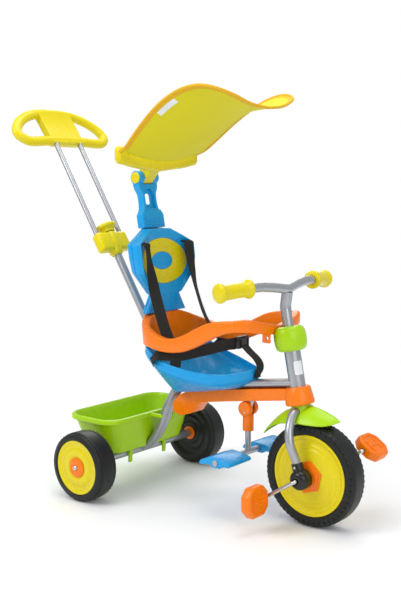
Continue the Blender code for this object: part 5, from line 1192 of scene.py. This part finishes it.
HEM_WIDTH = 0.0108
hem = piece(edge_strip("cloth_hem", 8, len(hoop_path) - 9, 0.002, HEM_WIDTH, 0.0022), "canopy_binding",
            "canopy",
            (), 60)
label_start = len(hoop_path) - 32
piece(edge_strip("canopy_label", label_start, label_start + 7, HEM_WIDTH + 0.001, HEM_WIDTH + 0.015, 0.0014),
      "label", "canopy", (), 60)

# %% [markdown]
# ## Push handle
# A steel tube leans back from a socket between the frame tubes. A yellow bracket clamps it with a round
# knob and holds two thinner rods, which end in the yellow loop that the parent holds. The loop is a
# flattened tube bent round its outline, with a flat panel across its middle that leaves two finger holes.

# %% Handle tubes
BRACKET_START, BRACKET_LENGTH, ROD_TOP, ROD_SIDE = 0.4088, 0.054, 0.757, 0.043


def up_handle(distance, side=0.0):
    return HANDLE_FOOT + HANDLE_UP * distance + SIDEWAYS * side


def along_handle(name, low, high, diameter, side=0.0, steps=36):
    return rod(name, up_handle(low, side), up_handle(high, side), diameter, steps)


def laid(obj, y_way, z_way, place):
    """Lay a piece that was drawn flat: its x runs sideways, and its y and z along the two ways."""
    return turn_mesh(obj, Matrix.Translation(place) @ Matrix((SIDEWAYS, y_way, z_way)).transposed().to_4x4())


lower = along_handle("push_tube", 0.006, BRACKET_START + 0.04, 0.021, 0.0, 48)
socket = turned("push_socket", [(0.0108, 0.0), (0.0133, 0.0), (0.0133, 0.062), (0.0108, 0.062),
                                (0.0108, 0.0)],
                up_handle(0.006), HANDLE_UP, 48)
for tube_piece in (lower, socket):
    carved(tube_piece, *tube_rooms(4 * GAP))
piece(lower, "silver_paint", "frame", "handle_lower_tube")
piece(rounded(socket, 0.0006, 2, 50), "silver_paint", "frame", "handle_socket")
for side, sign in SIDES.items():
    piece(along_handle(f"thin_rod_{side}", BRACKET_START + 0.015, ROD_TOP, 0.013, sign * ROD_SIDE),
          "silver_paint", "frame", f"handle_rod_{side}")

# %% Handle bracket and knob
body_half = 0.053
bracket = block("clamp", (-body_half, -0.015, 0), (body_half, 0.015, BRACKET_LENGTH))
rounded(bracket, 0.009, 5)
barrel_low = [(0, -0.012), (0.012, -0.012), (0.015, -0.0105), (0.0185, -0.004),
              (0.0185, BRACKET_LENGTH - 0.006), (0.0172, BRACKET_LENGTH - 0.0015), (0.015, BRACKET_LENGTH),
              (0, BRACKET_LENGTH)]
welded(bracket, turned("barrel", barrel_low, axis=UPWARDS, steps=64))
laid(bracket, HANDLE_AHEAD, HANDLE_UP, up_handle(BRACKET_START))
carved(bracket, along_handle("tube_room", BRACKET_START - 0.05, BRACKET_START + 0.0403, 0.0216, 0.0, 48),
       along_handle("screw_room", BRACKET_START + 0.046, BRACKET_START + 0.08, 0.013, 0.0, 32),
       *(along_handle("rod_room", BRACKET_START + 0.0147, ROD_TOP, 0.0136,
                      sign * ROD_SIDE) for sign in (-1, 1)))
piece(bracket, "yellow_plastic", "frame", "handle_bracket", 35)
KNOB = mm((0, -7), (5.5, -7), (6, -6), (6, 0.8), (19, 0.8), (19.8, 2), (20.4, 8), (21.8, 10.2),
          (25, 11.8), (27.5, 13.6), (29, 16), (29, 20.5), (27.6, 22.4), (24, 23.4), (12, 24.6), (0, 25))
knob = turned("screw_knob", KNOB, up_handle(BRACKET_START + BRACKET_LENGTH), HANDLE_UP, 96)
piece(knob, "yellow_plastic", "handle_knob", "handle_knob", 40)

# %% Handle loop
LOOP_OUTLINE = mm((0, 128), (50, 126), (100, 113), (144, 86), (168, 53), (166, 27), (145, 8), (118, 2),
                  (60, 6), (0, 7))
LOOP_LEAN, LOOP_FOOT = math.radians(37), Vector((-0.273, 0.0, 0.878))
RIM_REACH, RIM_DEPTH, PANEL_HALF = 0.0138, 0.012, 0.056
whole_loop = LOOP_OUTLINE + backwards(LOOP_OUTLINE[1:-1], 0)
outer = [Vector((x, y, 0)) for x, y in through(whole_loop, 6, closed=True)]
rings = []
for i, place in enumerate(outer):
    ahead = (outer[(i + 1) % len(outer)] - outer[i - 1]).normalized()
    inward = Vector((ahead.y, -ahead.x, 0)) * RIM_REACH
    rings.append([place + inward * (1 + math.cos(turn)) + Vector((0, 0, RIM_DEPTH * math.sin(turn)))
                  for turn in (math.tau * k / 20 for k in range(20))])
loop = skin("parent_loop", rings, joined=True)
welded(loop, block("panel", (-PANEL_HALF, 0.008, -RIM_DEPTH + 0.0008),
                   (PANEL_HALF, 0.116, RIM_DEPTH - 0.0008),
                   0.0014))
loop_up = Vector((-math.sin(LOOP_LEAN), 0, math.cos(LOOP_LEAN)))
loop_out = Vector((math.cos(LOOP_LEAN), 0, math.sin(LOOP_LEAN)))
laid(loop, loop_up, loop_out, LOOP_FOOT)
carved(loop, *(along_handle("rod_room", 0.6, ROD_TOP + GAP, 0.0136, sign * ROD_SIDE) for sign in (-1, 1)))
piece(loop, "yellow_plastic", "frame", "handle_loop", 50)

# %% [markdown]
# ## Basket
# The green tub hangs behind the seat, with a rolled rim. Two clips reach down over the axle tube and two
# fingers hook on the frame tubes. Inside and outside are skins over rectangles with round corners, and
# the tub is what is left when one is cut from the other.

# %% Basket
BASKET_TOP, BASKET_FLOOR, BASKET_HALF, BASKET_REAR, BASKET_FRONT = 0.193, 0.097, 0.172, -0.12, 0.05


def tub_ring(low_x, high_x, half_wide, height, corner):
    points = []
    for centre, start in (((high_x - corner, half_wide - corner), 0),
                          ((low_x + corner, half_wide - corner), 90),
                          ((low_x + corner, -half_wide + corner), 180),
                          ((high_x - corner, -half_wide + corner), 270)):
        points += [(x, y, height) for x, y in arc(centre, corner, start, start + 90, 10)]
    return points


def rim_ring(inset, height, corner):
    return tub_ring(BASKET_REAR + inset, BASKET_FRONT - inset, BASKET_HALF - inset, height, corner)


LIP_REACH, LIP_FOOT = 0.009, BASKET_TOP - 0.012
outside = skin("tub", [
    tub_ring(-0.085, 0.023, 0.128, BASKET_FLOOR, 0.03),
    tub_ring(-0.0895, 0.026, 0.134, BASKET_FLOOR + 0.0025, 0.034),
    tub_ring(-0.092, 0.028, 0.138, BASKET_FLOOR + 0.008, 0.036),
    rim_ring(LIP_REACH, LIP_FOOT, 0.042), rim_ring(0.0006, LIP_FOOT, 0.0475),
    rim_ring(0.0, LIP_FOOT + 0.0008, 0.048), rim_ring(0.0, BASKET_TOP - 0.004, 0.048),
    rim_ring(0.001, BASKET_TOP - 0.0015, 0.047), rim_ring(0.0035, BASKET_TOP, 0.045)])
wall = LIP_REACH + WALL
inside = skin("tub_inside", [
    tub_ring(-0.0825, 0.0205, 0.1255, BASKET_FLOOR + WALL, 0.028),
    tub_ring(-0.088, 0.024, 0.133, BASKET_FLOOR + 0.0045, 0.032),
    tub_ring(-0.0895, 0.0255, 0.1355, BASKET_FLOOR + 0.009, 0.034),
    rim_ring(wall, LIP_FOOT, 0.04), rim_ring(wall - 0.0012, BASKET_TOP - 0.004, 0.0412),
    rim_ring(wall - 0.0045, BASKET_TOP + 0.001, 0.044), rim_ring(wall - 0.0045, BASKET_TOP + 0.01, 0.044)])
STAY_ROOM = 0.005
carved(inside, *tube_rooms(STAY_ROOM + 2 * WALL))
carved(outside, *tube_rooms(STAY_ROOM))
carved(outside, inside)
clip_x = 0.0105 + GAP
hook_side = FRAME_SPACING / 2 + FRAME_TUBE / 2 + 0.0006
for sign in (-1, 1):
    clip = slab("clip", [(clip_x, 0.064), (clip_x + 0.0035, 0.062), (clip_x + 0.008, BASKET_FLOOR + 0.006),
                         (clip_x, BASKET_FLOOR + 0.006)], sign * 0.065 - 0.006, sign * 0.065 + 0.006, 0.0008)
    sides = sorted((sign * hook_side, sign * (hook_side + 0.006)))
    finger = block("finger", (BASKET_FRONT - 0.006, sides[0], 0.182),
                   (0.086, sides[1], BASKET_TOP - 0.002), 0.0015)
    welded(outside, clip, finger)
piece(outside, "green_plastic", "frame", "basket", 35)

# %% [markdown]
# ## Footrest
# A folding post hangs from a steel tab under the beam. Two orange shells close round the post and turn on
# the pin. At the foot a cross bar carries a blue pad for each shoe, with grooves across its sloping top.

# %% Footrest
PIN_HALF, EAR, SLEEVE, TAB_HALF = 0.0175, 0.018, 0.0135, 0.006
slope = (COVER_BOTTOM[2][1] - COVER_BOTTOM[1][1]) / (COVER_BOTTOM[2][0] - COVER_BOTTOM[1][0])
tab_top = COVER_BOTTOM[1][1] + slope * (FOOTREST_PIVOT.x - COVER_BOTTOM[1][0]) - GAP
tab = arc((FOOTREST_PIVOT.x, FOOTREST_PIVOT.z), 0.012, 180, 360, 24)
tab += [(FOOTREST_PIVOT.x + 0.012, tab_top + slope * 0.012),
        (FOOTREST_PIVOT.x - 0.012, tab_top - slope * 0.012)]


def below(drop, side=0.0):
    """A place under the footrest's pivot, at a distance to the side."""
    return FOOTREST_PIVOT + Vector((0, side, -drop))


plate = slab("fold_tab", tab, -TAB_HALF, TAB_HALF, 0.0006)
welded(plate, rod("pin", below(0, -PIN_HALF), below(0, PIN_HALF), 0.007, 32))
piece(plate, "bright_steel", "frame", "footrest_bracket")
SHELL = [(0, TAB_HALF + 0.0008), (EAR, TAB_HALF + 0.0008), (EAR, 0.0155), (EAR - 0.0009, 0.0178),
         (EAR - 0.003, 0.0191), (EAR - 0.0055, 0.0195), (0, 0.0195)]
SLEEVE_FOOT, SCREW_DROP, BAR_DROP, BAR_HALF = 0.055, 0.008, 0.108, 0.13
for side, sign in SIDES.items():
    shell = turned(f"fold_shell_{side}", SHELL, FOOTREST_PIVOT, (0, sign, 0), 64)
    column = rod("column", below(SLEEVE_FOOT), below(0.014), 2 * SLEEVE, 56, 0.001)
    near, far = sorted((sign * 0.00015, -sign * 0.03))
    carved(column, block("other_half", (0.3, near, 0.15), (0.39, far, 0.26)))
    welded(shell, column)
    carved(shell, rod("post_room", below(SLEEVE_FOOT + 0.02), below(0.019), 0.0156, 40),
           rod("pin_room", FOOTREST_PIVOT, below(0, sign * (PIN_HALF + GAP)), 0.0076, 32),
           rod("screw_pit", below(SCREW_DROP, sign * 0.018), below(SCREW_DROP, sign * 0.03), 0.0066, 28))
    piece(shell, "orange_plastic", "footrest", f"footrest_shell_{side}")
    screw = turned(f"fold_screw_{side}", [(0, 0), (0.003, 0), (0.0029, 0.0007), (0.0016, 0.0012),
                                          (0, 0.0013)],
                   below(SCREW_DROP, sign * 0.0181), (0, sign, 0), 24)
    piece(screw, "bright_steel", "footrest")
bar = rod("foot_bar", below(BAR_DROP, -BAR_HALF), below(BAR_DROP, BAR_HALF), 0.015, 48, 0.0008)
welded(bar, rod("post", below(BAR_DROP), below(0.0195), 0.0148, 48))
piece(bar, "silver_paint", "footrest", "footrest_post")

# %% Footrest pads
x, z = FOOTREST_PIVOT.x, FOOTREST_PIVOT.z - BAR_DROP
PAD = mm((-50, -8), (-44, -10), (-15, -6), (-12, -12), (12, -12), (18, -5), (37, -6), (43, -1), (39, 5),
         (15, 11), (-15, 13), (-45, 1))
for side, sign in SIDES.items():
    low, high = sorted((sign * 0.042, sign * 0.128))
    pad = slab(f"shoe_pad_{side}", [(x + ahead, z + up) for ahead, up in PAD], low, high)
    rounded(pad, 0.0026, 4, 20)
    for k in range(4):
        start = -0.036 + 0.01 * k
        rise = z + 0.001 + (start + 0.045) * 0.4
        carved(pad, block("groove", (x + start, low + 0.01, rise - 0.0006),
                          (x + start + 0.003, high - 0.01, rise + 0.02)))
    carved(pad, rod("bar_room", (x, low - 0.02, z), (x, high + 0.02, z), 0.0156, 40))
    piece(pad, "blue_plastic", "footrest", f"footrest_pad_{side}", 30)

# %% [markdown]
# ## Harness
# The straps are flat woven webbing. Each is a thin strip laid through rows of place and direction across,
# smoothed between the rows, with a map that runs in metres along and across it so that the weave keeps
# its real size. A plastic buckle joins the lap strap, and the strap's loose end hangs at the right hip.

# %% Harness
def strap(name, rows, width=WEBBING, steps=6):
    """Flat webbing through rows of (place, direction across), with a map in metres."""
    dense_rows = through([(*place, *across) for place, across in rows], steps)
    places = [Vector(row[:3]) for row in dense_rows]
    shares = [k / 6 for k in range(7)]
    run = [0.0]
    for a, b in zip(places, places[1:]):
        run.append(run[-1] + (b - a).length)
    bands = []
    for j, place in enumerate(places):
        along = (places[min(j + 1, len(places) - 1)] - places[max(j - 1, 0)]).normalized()
        across = Vector(dense_rows[j][3:])
        across = (across - along * across.dot(along)).normalized()
        bands.append([place + across * width * (share - 0.5) for share in shares])
    obj, cells = grid(name, bands)
    lay_map(obj, cells, [share * width for share in shares], run)
    print(name, "is", round(run[-1], 3), "m long")
    return thickened(obj, WEBBING_THICKNESS)


STRAP_WAY = [(0.095, 0.082, STRAP_SLOT - 0.0145), (0.1, 0.082, STRAP_SLOT - 0.0425),
             (0.106, 0.0815, STRAP_SLOT - 0.0725), (0.117, 0.081, 0.514),
             (0.14, 0.082, 0.451), (0.16, 0.086, 0.415), (0.18, 0.09, 0.385)]
STRAP_TWIST = {"right": (20, 16, -6, -38, -50, -50, -46), "left": (20, 8, -8, -26, -26, -30, -30)}
STRAP_SLIP = {"right": 0.0, "left": 0.008}
for side, sign in SIDES.items():
    rows = [((SLOT_DEEP + 0.003, sign * STRAP_SIDE, STRAP_SLOT), (0, 1, 0)),
            ((0.088, sign * STRAP_SIDE, STRAP_SLOT), (0, 1, 0))]
    for (x, y, z), twist in zip(STRAP_WAY, STRAP_TWIST[side]):
        turn = math.radians(twist)
        slip = STRAP_SLIP[side] * min(1.0, (z - 0.415) / 0.18) if z > 0.415 else 0.0
        rows.append(((x, sign * (y - slip), z), (sign * math.sin(turn), math.cos(turn), 0)))
    piece(strap(f"shoulder_webbing_{side}", rows), "black_webbing", "frame", f"shoulder_strap_{side}", 60)
lap_left = [((0.142, 0.1214, 0.349), (0, 0.0, 1)), ((0.16, 0.127, 0.368), (-0.5, -0.8, 1)),
            ((0.18, 0.114, 0.37), (0, -0.5, 1)), ((0.215, 0.1, 0.372), (0, 0, 1)),
            ((0.25, 0.083, 0.382), (0, 0, 1)), ((0.283, 0.06, 0.392), (0, 0, 1)),
            ((0.308, 0.035, 0.4), (0, 0, 1)), ((0.325, 0.0, 0.404), (0, 0, 1))]
lap_rows = lap_left + [((x, -y, z), (a, -b, c)) for (x, y, z), (a, b, c) in reversed(lap_left[:-1])]
piece(strap("lap_webbing", lap_rows, steps=4), "black_webbing", "frame", "lap_strap", 60)
CROTCH_LINE = mm((327.5, 413), (330, 399), (348, 383), (368, 369), (378.5, 354.3), (377.5, 340), (371, 330),
                 (370.2, 322.5))
piece(strap("crotch_webbing", [((x, 0, z), SIDEWAYS) for x, z in CROTCH_LINE]), "black_webbing", "frame",
      "crotch_strap", 60)
loose_end = [((0.205, -0.1035, 0.365), (1, 0.4, 0)), ((0.205, -0.105, 0.354), (1, 0.4, 0)),
             ((0.2045, -0.1075, 0.344), (1, 0.4, 0))]
piece(strap("loose_webbing", loose_end), "black_webbing", "frame", (), 60)
buckle = block("buckle", (0.319, -0.0215, 0.389), (0.3315, 0.0215, 0.419), 0.0038)
for sign in (-1, 1):
    carved(buckle, block("latch", (0.3285, sign * 0.014 - 0.0035, 0.396),
                         (0.34, sign * 0.014 + 0.0035, 0.412),
                         0.0012))
piece(buckle, "black_plastic", "frame", (), 40)

# %% [markdown]
# ## Studio
# A white floor and a white world for what the camera sees, and soft area lights at a plain level, so that
# a colour renders about as it is written. Light Path keeps the background white without more light on the
# object: far from the wheels the floor turns to plain white for camera rays, near them it holds the shadow.

# %% World, floor and lamps
world = bpy.data.worlds.new("studio")
bpy.context.scene.world = world
world.use_nodes = True
tree = world.node_tree
ambient = tree.nodes["Background"]
ambient.inputs["Color"].default_value = (0.93, 0.96, 1.0, 1)
ambient.inputs["Strength"].default_value = 0.56
seen = add_node(tree, "Background", {"Color": (1, 1, 1, 1), "Strength": 1.0})
path = add_node(tree, "LightPath").outputs
either = maths(tree, "MAXIMUM", path["Is Camera Ray"], path["Is Transmission Ray"])
mixed = add_node(tree, "MixShader", {"Fac": either, 1: ambient.outputs[0], 2: seen.outputs[0]}).outputs[0]
tree.links.new(mixed, tree.nodes["World Output"].inputs["Surface"])

fresh()
bpy.ops.mesh.primitive_plane_add(size=40)
floor = bpy.context.object
floor.name = "studio_floor"
paper, tree, shader = new_material("floor paper", {"Base Color": (0.9, 0.9, 0.9, 1), "Roughness": 0.9,
                                                   "Specular IOR Level": 0.1})
white = add_node(tree, "Emission").outputs[0]
place = add_node(tree, "TexCoord").outputs["Object"]
distance = add_node(tree, "VectorMath", {0: place}, operation="LENGTH").outputs["Value"]
fade = add_node(tree, "MapRange", {"Value": distance, "From Min": 0.55, "From Max": 1.5},
                interpolation_type="SMOOTHSTEP").outputs[0]
bright = maths(tree, "MULTIPLY", fade, add_node(tree, "LightPath").outputs["Is Camera Ray"])
mixed = add_node(tree, "MixShader", {"Fac": bright, 1: shader.outputs[0], 2: white}).outputs[0]
tree.links.new(mixed, tree.nodes["Material Output"].inputs["Surface"])
floor.data.materials.append(paper)

LAMPS = [("key", (-0.9, -2.3, 2.3), 1.6, 40.0), ("fill", (2.4, -1.2, 1.5), 1.8, 18.0),
         ("top", (0.1, 0.2, 3.0), 2.2, 42.0), ("rim", (-1.6, 2.0, 1.9), 1.4, 16.0)]
for name, place, size, power in LAMPS:
    fresh()
    bpy.ops.object.light_add(type="AREA", location=place)
    lamp = bpy.context.object
    lamp.name = f"{name}_light"
    lamp.data.size = size
    lamp.data.energy = power
    lamp.rotation_euler = (Vector((0, 0, 0.45)) - Vector(place)).to_track_quat("-Z", "Y").to_euler()
print(len(LAMPS), "lamps")

# %% [markdown]
# ## Camera
# The camera stands where the photographer stood: to the front right, a little above the seat, looking
# slightly down. Its place and lens were solved from the wheels' known sizes and places.

# %% Camera
fresh()
VIEW_YAW, VIEW_PITCH, VIEW_ROLL = 2.2609, 0.1249, -0.0011
bpy.ops.object.camera_add(location=(1.6803 + AXLE_X, -1.7995, 0.7864),
                          rotation=(math.pi / 2 - VIEW_PITCH, VIEW_ROLL, VIEW_YAW - math.pi / 2))
camera = bpy.context.object
camera.data.sensor_width = 36
camera.data.lens = 56.92
bpy.context.scene.camera = camera
bpy.context.scene.view_settings.view_transform = "Standard"
